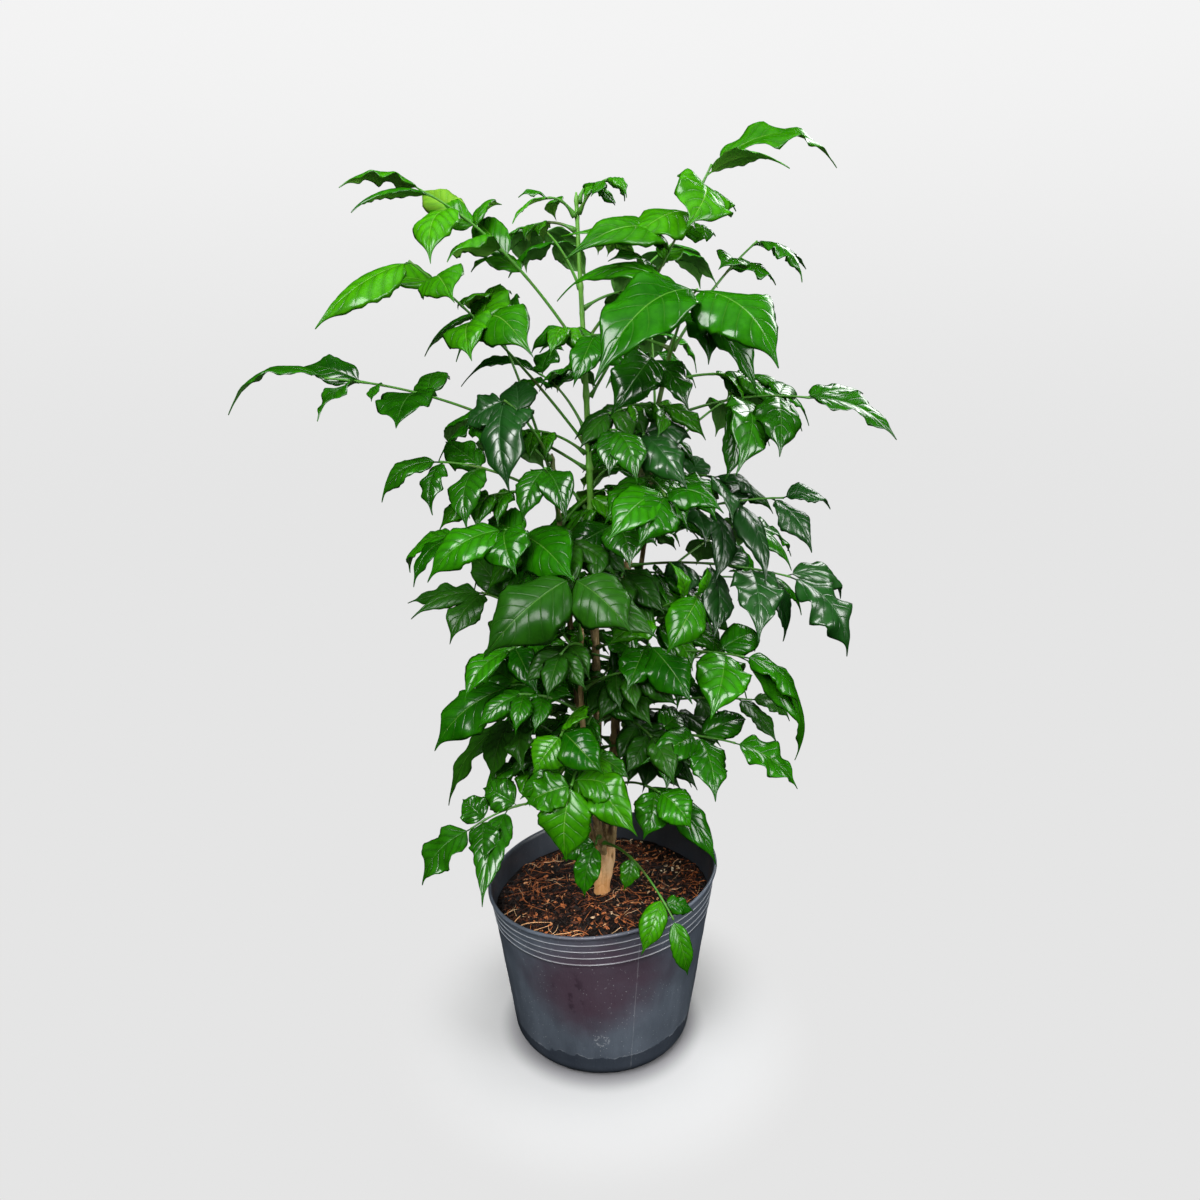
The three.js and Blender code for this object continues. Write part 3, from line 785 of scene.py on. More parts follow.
@dataclass(frozen=True)
class PolytheneFinish:
    """Soft black polythene with a dusty satin skin.

    The places on its front are x and z, in metres.

    Attributes:
        black, dusty: The clean skin, and the dust on it.
        flush, stain: A painted reflection, a purplish sheen on the front, and the darker stains in it.
        worn: Where it is scuffed or stretched pale, and the painted highlight along the ring ridges.
        inner: The painted shade on the inside of the wall.
        foot: Below the ragged line.
        reflection_middle, reflection_reach: The middle of the painted reflection, and its half width and
            height.
        stain_middle, stain_reach: The same of the stains.
        scuff_height, scuff_radius: The height of the round scuff's middle, and its radius.
        foot_line: The height where the skin turns darker, before it is made ragged.
        seam_turn: The sine of the angle from the front to the mould seam.
    """

    black: str = "353b45"
    dusty: str = "66707d"
    flush: str = "46303d"
    stain: str = "2a1c28"
    worn: str = "d2d6dc"
    inner: str = "1e222a"
    foot: str = "232933"
    reflection_middle: Pair = (-0.004, 0.105)
    reflection_reach: Pair = (0.055, 0.052)
    stain_middle: Pair = (-0.027, 0.093)
    stain_reach: Pair = (0.014, 0.022)
    scuff_height: float = 0.043
    scuff_radius: float = 0.0045
    foot_line: float = 0.043
    seam_turn: float = 0.309

    @staticmethod
    def oval(x: Term, z: Term, middle: Pair, reach: Pair) -> Term:
        """How far out of an oval a place is: ((x - a) / w)^2 + ((z - b) / h)^2, which is 1 on its edge."""
        return ((x - middle[0]) / reach[0]) ** 2 + ((z - middle[1]) / reach[1]) ** 2

    def dress(self, name: str) -> Material:
        """Writes the material.

        Dust lies in soft clouds and drawn-out streaks. The front has a painted reflection, a purplish
        sheen with a few darker stains in it, and a pale scuff and scattered specks. The mould seam is worn
        pale, the ring ridges carry a painted highlight, the inside of the wall is painted darker as shade,
        and the skin is darker below a ragged line near the foot.

        Args:
            name: The material's name.

        Returns:
            The material.
        """
        d = Dress(name)
        x, y, z = d.axes()
        cloud = d.cloud(14, 4, rough=0.55)
        streak = d.cloud(70, 4, (1, 1, 0.22), 0.6)
        rough_patch = d.cloud(90, 4, rough=0.6)
        fine_patch = d.cloud(420, 4, rough=0.7)
        front = y.step(-0.03, -0.07)
        colour = d.mixed((cloud * 0.7 + streak * 0.6 - 0.2).held(), self.black, self.dusty)
        # Painted reflection: a purplish sheen in an oval on the front, painted into the colour.
        aside = self.oval(x, z, self.reflection_middle, self.reflection_reach)
        painted_reflection = (aside + cloud * 1.4 + rough_patch * 0.6 - 1.0).step(1.7, 0.1) * front
        colour = d.mixed(painted_reflection * 0.8, colour, self.flush)
        aside = self.oval(x, z, self.stain_middle, self.stain_reach)
        stain = rough_patch.step(0.52, 0.6) * aside.step(1.4, 0.3) * front
        colour = d.mixed(stain * 0.6, colour, self.stain)
        spot = (x * x + (z - self.scuff_height) ** 2) ** 0.5
        scuff = (spot - self.scuff_radius).size().step(0.003, 0.0005) * fine_patch.step(0.5, 0.62) * front
        dots = d.cells(330).step(0.13, 0.05) * cloud.step(0.42, 0.52)
        colour = d.mixed((scuff * 0.35 + dots * 0.55).held(), colour, self.worn)
        edge = z + rough_patch * 0.014 + cloud * 0.024 - x * 0.06
        colour = d.mixed(edge.step(self.foot_line, self.foot_line - 0.0015) * 0.7, colour, self.foot)
        lap = (edge - self.foot_line).size().step(0.0007, 0.0)
        colour = d.mixed(lap * streak.step(0.42, 0.6) * 0.25, colour, self.worn)
        out = (x * x + y * y) ** 0.5
        seam = (x / out - self.seam_turn).size().step(0.0036, 0.0012) * front
        colour = d.mixed(seam * (rough_patch.step(0.35, 0.6) * 0.16 + 0.03), colour, self.worn)
        # Painted highlight: the ridge tops of the rings are lightened to the pale worn colour.
        colour = d.mixed(d.mark("ring") * 0.8, colour, self.worn)
        # Painted shade: the inside of the wall is darkened towards the inner colour.
        return d.wear(
            Base_Color=d.mixed(d.mark("within") * 0.6, colour, self.inner),
            Roughness=streak * 0.3 + cloud * 0.2 + 0.14,
            Normal=d.bump(cloud * 0.5 + streak * 0.4 + rough_patch * 0.15, 0.003, 0.5),
            Specular_IOR_Level=0.6,
        )


@dataclass(frozen=True)
class SoilFinish:
    """Moist, dark bark and coir crumbs.

    Attributes:
        browns: The crumbs' (place, screen colour) stops, from near black to red-brown.
    """

    browns: Stops = ((0.3, "040202"), (0.5, "120a07"), (0.68, "2a1812"), (0.88, "523222"))

    def dress(self, name: str) -> Material:
        """Writes the material: clods, and crumbs between them, pick the brown.

        Args:
            name: The material's name.

        Returns:
            The material.
        """
        d = Dress(name)
        clod = d.cloud(160, 5, rough=0.65)
        crumb = d.cells(520)
        return d.wear(
            Base_Color=d.ramp((clod * 0.9 + crumb * 0.4 - 0.2).held(), self.browns),
            Roughness=clod * 0.3 + 0.65,
            Normal=d.bump(clod + crumb * 0.5, 0.0022, 0.9),
            Specular_IOR_Level=0.25,
        )


@dataclass(frozen=True)
class ChipFinish:
    """Chips of bark and coir, each with its own brown.

    Attributes:
        browns: The (place, screen colour) stops that a chip's tone picks from.
    """

    browns: Stops = (
        (0.05, "080403"), (0.45, "1e110b"), (0.62, "643218"), (0.78, "cc743c"), (0.9, "ecb078"),
        (1.0, "fff0cc"),
    )

    def dress(self, name: str) -> Material:
        """Writes the material: the chip's own tone picks a brown, and fine grain varies it.

        Args:
            name: The material's name.

        Returns:
            The material.
        """
        d = Dress(name)
        grain = d.cloud(1300, 3)
        colour = d.ramp((d.mark("tone") + grain * 0.16 - 0.08).held(), self.browns)
        return d.wear(Base_Color=colour, Roughness=grain * 0.3 + 0.5, Normal=d.bump(grain, 0.0005, 0.7))


@dataclass(frozen=True)
class FloorFinish:
    """Plain pale studio floor, lit by the lamps near the pot and glowing evenly further out.

    Attributes:
        painted_contact_shadow: The painted shadow on the floor round the foot.
        shade: The floor near the pot.
        far, high: The low and the high backdrop.
        contact_shadow_reach: How far out the painted shadow starts to fade and where it ends, in metres.
        glow: How far out the glow starts and where it is full, in metres.
        rise: How high the high backdrop's colour is reached, in metres.
    """

    painted_contact_shadow: str = "86868a"
    shade: str = "babbbd"
    far: str = "e5e5e5"
    high: str = "f4f4f4"
    contact_shadow_reach: Pair = (0.074, 0.096)
    glow: Pair = (0.095, 0.2)
    rise: float = 1.9

    def dress(self, name: str) -> Material:
        """Writes the material: out from the pot, a painted shadow, then the lit grey, then the glow.

        Args:
            name: The material's name.

        Returns:
            The material.
        """
        d = Dress(name)
        x, y, z = d.axes()
        black = "000000"
        out = (x * x + y * y) ** 0.5
        glow = out.step(*self.glow)
        # Painted shadow: the floor round the pot's foot is darkened towards the shadow colour.
        dull = d.mixed(out.step(*self.contact_shadow_reach), self.painted_contact_shadow, self.shade)
        backdrop = d.mixed(z.step(0.0, self.rise), self.far, self.high)
        return d.wear(
            Base_Color=d.mixed(glow, dull, black), Emission_Color=d.mixed(glow, black, backdrop),
            Emission_Strength=1.0, Roughness=1.0, Specular_IOR_Level=0.0,
        )


# ---------------- pot and soil


@dataclass
class Pot:
    """The soft nursery pot: thin walls, a rolled lip, ring ridges, a rounded foot and drain holes.

    Attributes:
        rounding: The radius of the corner between floor and wall.
        lip: The radius of the rolled lip.
        lean: How much higher the lip is at the right than in the middle.
        first_ridge: How far below the top the highest ridge is.
        fine_from: The height above which the wall's rows are close enough for the ridges.
        slack: How far the thin wall strays from round.
        shaded_inside_from: The height above which the inside of the wall shows and is painted darker, as
            shade.
    """

    rim_radius: float = 100.0
    foot_radius: float = 79.0
    height: float = 154.0
    wall: float = 1.2
    rounding: float = 14.0
    lip: float = 1.6
    lean: float = 13.0
    ridge_count: int = 5
    ridge_pitch: float = 6.5
    ridge_depth: float = 0.55
    first_ridge: float = 9.5
    fine_from: float = 125.0
    drain_count: int = 6
    drain_radius: float = 4.0
    drain_circle: float = 48.0
    slack: float = 0.5
    shaded_inside_from: float = 30.0
    segments: int = 192

    def radius_at(self, height: Array | float) -> Array | float:
        """The outer radius at a height, on a straight flare from the foot to under the lip."""
        rise = (height - self.rounding) / (self.height - self.rounding)
        return self.foot_radius + (self.rim_radius - self.lip - self.foot_radius) * rise

    def leaned(self, points: Array) -> Array:
        """Lifts the wall to the right: z + lean (x / rim radius) (z / height)^2."""
        rise = self.lean * points[..., 0] / self.rim_radius * (points[..., 2] / self.height) ** 2
        return points + rise[..., None] * UP

    def corner(self, inset: float, count: int) -> Array:
        """The quarter circle between floor and wall.

        Args:
            inset: How far in from the pot's outside it lies.
            count: How many points it has.

        Returns:
            Its (radius, height) rows, from the floor up.
        """
        turn = np.linspace(0, np.pi / 2, count)
        middle, radius = self.foot_radius - self.rounding, self.rounding - inset
        return profile(middle + radius * np.sin(turn), self.rounding - radius * np.cos(turn))

    def ridge_heights(self) -> Array:
        """The heights of the ring ridges."""
        return self.height - self.first_ridge - self.ridge_pitch * np.arange(self.ridge_count)

    def section(self) -> tuple[Array, Array]:
        """The half section from the middle of the underside, up the outside and down the inside.

        Returns:
            The (radius, height) rows, and which rows are on the outer wall.
        """
        flat = np.linspace(2, self.foot_radius - self.rounding - 1, 14)
        up = np.concatenate((
            np.linspace(self.rounding + 3, self.fine_from - 1, 26),
            np.arange(self.fine_from, self.height - 2 * self.lip, 0.25),
        ))
        ridges = self.ridge_depth * bell(up[:, None] - self.ridge_heights(), 0.45).sum(1)
        roll = np.linspace(-0.5 * np.pi, 0.75 * np.pi, 9)
        radius, height = self.rim_radius - self.lip, self.height - self.lip
        down = np.linspace(self.height - 3 * self.lip, self.rounding + 3, 30)
        rows = (
            profile(flat, 0.0),
            self.corner(0, 9),
            profile(self.radius_at(up) + ridges, up),
            profile(radius + self.lip * np.cos(roll), height + self.lip * np.sin(roll)),
            profile(self.radius_at(down) - self.wall, down),
            self.corner(self.wall, 9)[::-1],
            profile(flat[::-1], self.wall),
        )
        part = np.repeat(np.arange(len(rows)), [len(row) for row in rows])
        return np.concatenate(rows), (part == 1) | (part == 2)

    def build(self) -> Patch:
        """Turns the section, then lets the thin wall go slack.

        The slack moves a point out by a few broad waves round and up the wall, and by chance dents of
        two sizes. It eases off to none at the foot, and to a quarter at the stiff lip.

        Returns:
            The pot's shell, whose points carry how strongly a ridge's painted highlight lies on them, and
            whether they lie inside the wall, where shade is painted.
        """
        section, outer = self.section()
        rings = turned(section, self.segments)
        turn = turns(self.segments)
        height = section[:, 1:]

        def crumple(around: int, rise: float, seed: int) -> Array:
            """Chance heights with this many squares round the wall, each one rise high."""
            return rumple(around * turn / TURN, height / rise, seed, around)

        ease = np.clip(height / 40, 0, 1) * np.clip((self.height + 8 - height) / 50, 0.25, 1)
        waves = np.sin(3 * turn + 0.9) + 0.6 * np.sin(5 * turn + 2 + height / 45)
        dents = crumple(16, 26, 11) + 0.4 * crumple(40, 9, 12)
        shift = self.slack * ease * (0.6 * waves + 0.8 * dents)
        rings = self.leaned(rings + shift[..., None] * level_way(turn))
        poles = np.array(((0, 0, 0), (0, 0, self.wall)), float)
        # Painted highlight: points on the ridge tops are marked to be lightened.
        ridge_highlight = bell(height - self.ridge_heights(), 0.3).max(1)[:, None] * outer[:, None]
        # Painted shade: points on the inside of the wall above this height get a darker colour.
        within = (height > self.shaded_inside_from) & (section[:, :1] < self.radius_at(height) - self.wall / 2)
        marks = {"ring": ridge_highlight * (0.8 + 0.35 * crumple(24, 3, 13)), "within": within * 1.0}
        chart = np.stack(np.broadcast_arrays(turn / TURN, height / self.height), -1)
        return closed_patch(rings, poles, chart, marks)

    def drill(self, piece: Object) -> None:
        """Cuts the drain holes through the floor, and keeps the cut mesh.

        Args:
            piece: The pot.
        """
        line = np.linspace(-4, 6, 3)[:, None] * UP
        heading, radii = np.tile(UP, (3, 1)), np.full(3, self.drain_radius)
        turn = TURN * (np.arange(self.drain_count) + 0.5) / self.drain_count
        drills = [tube(line + self.drain_circle * way, heading, radii, 24, FRONT) for way in level_way(turn)]
        tool = cast("drain_drills", drills, [])
        cut = piece.modifiers.new("drains", "BOOLEAN")
        cut.object = tool
        cut.operation = "DIFFERENCE"
        cut.solver = "EXACT"
        done = bpy.data.meshes.new_from_object(piece.evaluated_get(bpy.context.evaluated_depsgraph_get()))
        piece.modifiers.clear()
        piece.data = done
        bpy.data.objects.remove(tool)

    def make(self) -> None:
        """Builds and dresses the pot."""
        piece = cast("nursery_pot", [self.build()], [PolytheneFinish().dress("black_polythene")])
        self.drill(piece)
        settle(piece, "black_polythene", "pot")


@dataclass
class Soil:
    """The soil: a crumbly bed that fills the pot, with bark chips, coir fibres and a few straws on it.

    Attributes:
        heap: How much higher it is at the trunk.
        chip_tones, fibre_tones: The browns that they come in, each with its share of them.
        chips_to, fibres_to: How far from the middle they are strewn.
        edge: How far from the middle a fibre may reach.
        straws: The x, y, heading in radians, length and bend of each straw.
    """

    pot: Pot
    level: float = 129.0
    heap: float = 4.0
    gap: float = 0.3
    segments: int = 224
    rings: int = 70
    chip_count: int = 4200
    chip_tones: tuple[Pair, ...] = ((0.12, 0.46), (0.36, 0.22), (0.6, 0.15), (0.78, 0.13), (0.92, 0.04))
    chips_to: float = 91.0
    fibre_count: int = 700
    fibre_tones: tuple[Pair, ...] = ((0.35, 0.35), (0.6, 0.35), (0.78, 0.22), (0.93, 0.08))
    fibres_to: float = 88.0
    edge: float = 93.0
    straws: tuple[tuple[float, float, float, float, float], ...] = (
        (-60, -42, 0.1, 34, 3), (-52, -46, 0.35, 22, -2), (-70, -30, 1.0, 20, 2), (-30, -58, 0.05, 26, 1),
        (-24, -62, 0.2, 18, -1),
    )

    def top(self, x: Array, y: Array) -> Array:
        """The bed's height before the pot leans: a low heap at the trunk, with clods of three sizes.

        Args:
            x: Places from left to right.
            y: Places from front to back.

        Returns:
            The heights there.
        """
        heap = self.level + self.heap * np.interp(np.hypot(x, y), (0, 18, 60, 97), (1, 1, 0.3, -0.4))
        clods = 1.6 * rumple(x / 17 + 9, y / 17 + 9, 21) + 0.9 * rumple(x / 7 + 20, y / 7 + 20, 22)
        return heap + clods + 0.5 * rumple(x / 2.6 + 30, y / 2.6 + 30, 23)

    def bed(self) -> Patch:
        """Turns the bed's section and gives its top the clods.

        Returns:
            The closed bed.
        """
        inset = self.pot.wall + self.gap
        corner = self.pot.corner(inset, 6)
        up = np.linspace(self.pot.rounding + 3, self.level - 2, 12)
        wall = profile(self.pot.radius_at(up) - inset, up)
        top = profile((self.pot.radius_at(self.level) - inset) * np.linspace(1, 0.02, self.rings), self.level)
        section = np.concatenate((((5.0, inset),), corner, wall, top))
        rings = turned(section, self.segments)
        upper = len(section) - len(top)
        rings[upper:, :, 2] = self.top(rings[upper:, :, 0], rings[upper:, :, 1])
        poles = np.array(((0, 0, inset), (0, 0, self.level + self.heap)), float)
        chart = np.zeros((*rings.shape[:2], 2))
        return closed_patch(self.pot.leaned(rings), poles, chart)

    def scatter(self, rng: Chance, count: int, edge: float) -> Array:
        """Chance points on the bed's top, even over its area: r = edge sqrt(draw).

        Args:
            rng: The source of chance.
            count: How many.
            edge: How far from the middle they may lie.

        Returns:
            The points.
        """
        way = level_way(rng.uniform(0, TURN, count))
        spots = edge * np.sqrt(rng.uniform(0, 1, count))[:, None] * way
        spots[:, 2] = self.top(spots[:, 0], spots[:, 1])
        return spots

    def chips(self) -> Patch:
        """Flakes of bark lying about on the bed.

        A chip is three four-cornered rings along a slightly bent axis, with a pole at each end:
        point = spot + a l along + b w across + c t over, where a, b and c are the corner's place. The
        pale ones lie in patches, and more of them at the front.

        Returns:
            All the chips, as one patch.
        """
        rng = np.random.default_rng(31)
        spots = self.scatter(rng, self.chip_count, self.chips_to)
        length = rng.gamma(5.0, 0.66, self.chip_count) + 1.1
        width = length * rng.uniform(0.2, 0.5, self.chip_count)
        thick = rng.uniform(0.35, 0.9, self.chip_count)
        way = level_way(rng.uniform(0, TURN, self.chip_count))
        tilt = rng.normal(0, 0.3, (self.chip_count, 1))
        roll = rng.normal(0, 0.5, (self.chip_count, 1))
        along = np.cos(tilt) * way + np.sin(tilt) * UP
        flat = unit(np.cross(UP, along))
        across = np.cos(roll) * flat + np.sin(roll) * np.cross(along, flat)
        over = np.cross(along, across)
        stations = np.array(((-0.36, 0.62, 0.0), (0.02, 1.0, 0.35), (0.38, 0.7, 0.0)))
        square = np.array(((-1, -1), (1, -1), (1, 1), (-1, 1))) * 0.5
        bent = np.outer(stations[:, 1], square[:, 1]).ravel() + np.repeat(stations[:, 2], 4)
        a = np.concatenate((np.repeat(stations[:, 0], 4), (-0.5, 0.5)))
        b = np.concatenate((np.outer(stations[:, 1], square[:, 0]).ravel(), (0, 0)))
        c = np.concatenate((bent, (0, 0)))
        jitter = 1 + rng.uniform(-0.25, 0.25, (self.chip_count, len(a)))
        points = spots[:, None] + (a * length[:, None])[..., None] * along[:, None]
        points = points + (b * width[:, None] * jitter)[..., None] * across[:, None]
        points = points + (c * thick[:, None])[..., None] * over[:, None]
        quads, triangles = closed_grid(3, 4)
        shift = len(a) * np.arange(self.chip_count)[:, None, None]
        tones, shares = zip(*self.chip_tones)
        tones = rng.choice(tones, self.chip_count, p=shares)
        patchy = 0.86 + 0.5 * rumple(spots[:, 0] / 30 + 50, spots[:, 1] / 30 + 50, 24) - 0.0012 * spots[:, 1]
        tone = np.minimum(tones * patchy, 1) + rng.uniform(-0.07, 0.07, self.chip_count)
        points = self.pot.leaned(points.reshape(-1, 3))
        quads, triangles = (quads + shift).reshape(-1, 4), (triangles + shift).reshape(-1, 3)
        return Patch(points, quads, triangles, np.zeros((len(points), 2)), {"tone": np.repeat(tone, len(a))})

    def fibre(
        self, middle: Array, turn: float, length: float, radius: float, bend: float, tone: float
    ) -> Patch:
        """One strand lying on the bed.

        Args:
            middle: The place of its middle.
            turn: Its heading, in radians.
            length: Its length.
            radius: Half its thickness.
            bend: How far its middle stands off the straight, sideways.
            tone: Which brown it is, from 0 to 1.

        Returns:
            The strand, a thin square tube of six stations that follows the bed's height. Its ends dip
            into the crumbs, and it stays inside the wall.
        """
        share = np.linspace(-0.5, 0.5, 6)
        way = level_way(turn)
        line = middle + np.outer(share * length, way) + np.outer(bend * (1 - 4 * share**2), np.cross(UP, way))
        out = np.maximum(np.hypot(line[:, :1], line[:, 1:2]), 1)
        line = line * np.minimum(1, self.edge / out)
        line[:, 2] = self.top(line[:, 0], line[:, 1]) + radius + 0.6
        line[[0, -1], 2] -= 0.5
        line = self.pot.leaned(line)
        radii = radius * np.array((0.5, 1, 1, 1, 0.9, 0.4))
        return tube(line, unit(np.gradient(line, axis=0)), radii, 4, UP, {"tone": np.full((6, 4), tone)})

    def fibres(self) -> list[Patch]:
        """Strews coir strands at chance, and a few pale straws at the left and the front.

        Returns:
            The strands and the straws.
        """
        rng = np.random.default_rng(32)
        tones, shares = zip(*self.fibre_tones)
        strands = []
        for spot in self.scatter(rng, self.fibre_count, self.fibres_to):
            length, bend, tone = rng.gamma(4, 3.2) + 4, rng.normal(0, 1.6), rng.choice(tones, p=shares)
            turn, radius = rng.uniform(0, np.pi), rng.uniform(0.16, 0.34)
            strands.append(self.fibre(spot, turn, length, radius, bend, tone))
        for x, y, turn, length, bend in self.straws:
            strands.append(self.fibre(np.array((x, y, 0.0)), turn, length, 0.5, bend, 0.9))
        return strands

    def make(self) -> None:
        """Builds and dresses the bed, the chips and the fibres."""
        crumbs, chip = SoilFinish().dress("potting_soil"), ChipFinish().dress("bark_chips")
        settle(cast("soil_bed", [self.bed()], [crumbs]), "potting_soil", "soil")
        settle(cast("soil_chips", [self.chips()], [chip], soft=False), "potting_soil")
        settle(cast("soil_fibres", self.fibres(), [chip]), "potting_soil")


# ---------------- trunk and stems


@dataclass(frozen=True)
class Stem:
    """One stem: the points that it grows through, and its radius at its foot and tip."""

    name: str
    radii: Pair
    posts: tuple[Point, ...]
    route: Route = field(init=False)

    def __post_init__(self) -> None:
        """Lays its route once."""
        object.__setattr__(self, "route", Route.through(self.posts))

    def share_at(self, height: float | Array) -> Array:
        """How far along its length it passes a height."""
        return np.interp(height, self.route.points[:, 2], self.route.shares)

    def radius_at(self, share: float | Array) -> Array:
        """Its radius, which changes evenly from foot to tip."""
        return self.radii[0] + (self.radii[1] - self.radii[0]) * np.asarray(share)


STEMS: dict[str, Stem] = {
    stem.name: stem
    for stem in (
        Stem("tall", (4.3, 1.4), (
            (-3, 3, 176), (-5, 3, 235), (-4, 2, 312), (-7, 3, 397), (-9, 4, 472), (-12, 4, 557),
            (-15, 6, 620), (-18, 8, 680), (-19, 9, 706),
        )),
        Stem("right", (4.4, 1.6), (
            (7, 0, 176), (12, 3, 235), (11, 6, 307), (13, 10, 364), (22, 12, 431), (31, 14, 495),
            (43, 10, 550), (54, 2, 604),
        )),
        Stem("left", (3.6, 1.6), (
            (-9, -4, 175), (-17, -11, 240), (-20, -18, 320), (-25, -22, 381), (-29, -25, 431),
            (-34, -25, 480), (-38, -22, 519),
        )),
        Stem("back", (3.4, 1.5), (
            (3, 10, 175), (8, 26, 240), (18, 42, 320), (32, 58, 400), (42, 70, 480), (46, 80, 545),
        )),
        Stem("front", (3.2, 1.5), (
            (1, -8, 174), (-6, -32, 225), (-13, -52, 285), (-16, -64, 345), (-15, -73, 400),
        )),
    )
}


@dataclass
class Wood:
    """The trunk with its roots, and the five stems that rise from it.

    Attributes:
        collar: The place where the trunk leaves the soil.
        foot_length: How far below its first post a stem already runs straight.
        node_swelling: How much thicker a stem is where a leaf leaves it, as a share.
        scar_swelling: How much thicker it is at a fallen leaf's scar, as a share.
        woody_to: The height where a stem's bark has lost its relief.
    """

    collar: Point = (0.0, -3.0, 133.0)
    collar_radius: float = 6.5
    foot_length: float = 14.0
    taproot_depth: float = 75.0
    side_root_reach: float = 45.0
    side_root_drop: float = 30.0
    node_swelling: float = 0.3
    node_reach: float = 2.6
    scar_swelling: float = 0.14
    scar_reach: float = 1.8
    scar_spacing: float = 31.0
    woody_to: float = 430.0
    sides: int = 24

    def barked(
        self, share: Array, radii: Array, length: float, seed: int, depth: float | Array
    ) -> tuple[Array, Array]:
        """Gives a tube's radii the bark's ridges and fissures.

        The radius becomes r + depth (0.7 long ridges + 0.3 crumbs), where the ridges are a noise
        stretched along the tube, and sunk is how deep a point lies in a fissure.

        Args:
            share: The places along the tube.
            radii: The plain radius at each.
            length: The tube's length.
            seed: Which draw of the noise to use.
            depth: How deep the relief is at each place, as a share of the radius.

        Returns:
            The radii and the sunk marks, shaped (places, sides).
        """
        turn = np.arange(self.sides) / self.sides
        run = share[:, None] * length
        ridges = 1 - 2 * np.abs(rumple(9 * turn, run / 15, seed, 9))
        crumbs = rumple(self.sides / 2 * turn, run / 3.2, seed + 1, self.sides // 2)
        relief = 0.7 * ridges + 0.3 * crumbs
        return radii[:, None] * (1 + depth * relief), np.clip(-relief, 0, 1)

    def trunk(self) -> list[Patch]:
        """The collar at the soil, a foot for each stem, a taproot and three side roots.

        Returns:
            One closed tube for each, grown into each other at the collar.
        """
        collar = np.array(self.collar)
        parts = []
        share = np.linspace(0, 1, 64)
        for number, stem in enumerate(STEMS.values()):
            seat, above = np.array(stem.posts[:2], float)
            growing = unit(above - seat)
            foot, top = seat - self.foot_length * growing, seat + 0.6 * growing
            route = Route.through((collar - 9 * UP, collar + 2 * UP, foot, top))
            flare = 1 + 0.12 * bell(share * route.length - 9, 6)
            plain = (self.collar_radius + (stem.radii[0] - self.collar_radius) * share) * flare
            radii, sunk = self.barked(share, plain, route.length, 41 + 3 * number, 0.13)
            line, heading = route.at(share), route.heading(share)
            parts.append(tube(line, heading, radii, self.sides, FRONT, {"sunk": sunk}))
        way = np.array((6.0, 2.0, -self.taproot_depth))
        share = np.linspace(0, 1, 12)
        taper = self.collar_radius - 4.9 * share
        parts.append(tube(collar + share[:, None] * way, np.tile(unit(way), (12, 1)), taper, 12, FRONT))
        for root in range(3):
            start = collar - (8 + 6 * root) * UP
            out = level_way(np.radians(36 + 120 * root))
            knee = start + out * self.side_root_reach / 2
            line = bezier(start, knee, start + out * self.side_root_reach - self.side_root_drop * UP, share)
            parts.append(tube(line, unit(np.gradient(line, axis=0)), 3 - 2 * share, 8, UP))
        return parts

    def stem(self, stem: Stem, nodes: Sequence[float], seed: int) -> Patch:
        """One stem, with a swelling and a ring where each leaf leaves it, and old scars between.

        Args:
            stem: The stem.
            nodes: The heights where its leaves leave it.
            seed: Which draw of the bark to use.

        Returns:
            Its closed tube, pointed at the top.
        """
        length = stem.route.length
        share = np.linspace(0, 1, int(length / 1.6))
        line, heading = stem.route.at(share), stem.route.heading(share)
        run = share * length
        knots = stem.share_at(np.asarray(nodes)) * length
        even = np.arange(12, length - 60, self.scar_spacing)
        scars = even + 6 * np.sin(even)
        swelling = self.node_swelling * bell(run[:, None] - knots, self.node_reach).sum(1)
        swelling = swelling + self.scar_swelling * bell(run[:, None] - scars, self.scar_reach).sum(1)
        woody = np.clip((self.woody_to - line[:, 2:]) / 160, 0.15, 1)
        plain = stem.radius_at(share) * (1 + np.minimum(swelling, 0.4))
        radii, sunk = self.barked(share, plain, length, seed, 0.09 * woody)
        radii = radii * np.clip((length - run) / 4, 0.25, 1)[:, None] ** 0.5
        line[0] -= heading[0]
        return tube(line, heading, radii, self.sides, FRONT, {"sunk": sunk * woody})

    def make(self, leaves: Sequence["LeafPlan"]) -> None:
        """Builds and dresses the trunk and the stems, of which the tall one is the youngest.

        Args:
            leaves: The leaves that the stems swell for.
        """
        settle(cast("woody_trunk", self.trunk(), [TRUNK_BARK.dress("trunk_bark")]), "bark", "trunk")
        woody, young = STEM_BARK.dress("stem_bark"), YOUNG_BARK.dress("young_stem_bark")
        for number, stem in enumerate(STEMS.values()):
            nodes = [leaf.height for leaf in leaves if leaf.stem == stem.name]
            bark = young if stem.name == "tall" else woody
            piece = cast(f"grown_stem_{stem.name}", [self.stem(stem, nodes, 61 + 3 * number)], [bark])
            settle(piece, "bark_to_green_stem", f"stem_{stem.name}")


# ---------------- leaves


@dataclass(frozen=True)
class Leaflet:
    """One leaflet: its place along the stalk, x, y and z from its base to its tip, and its width."""

    place: float
    x: float
    y: float
    z: float
    width: float


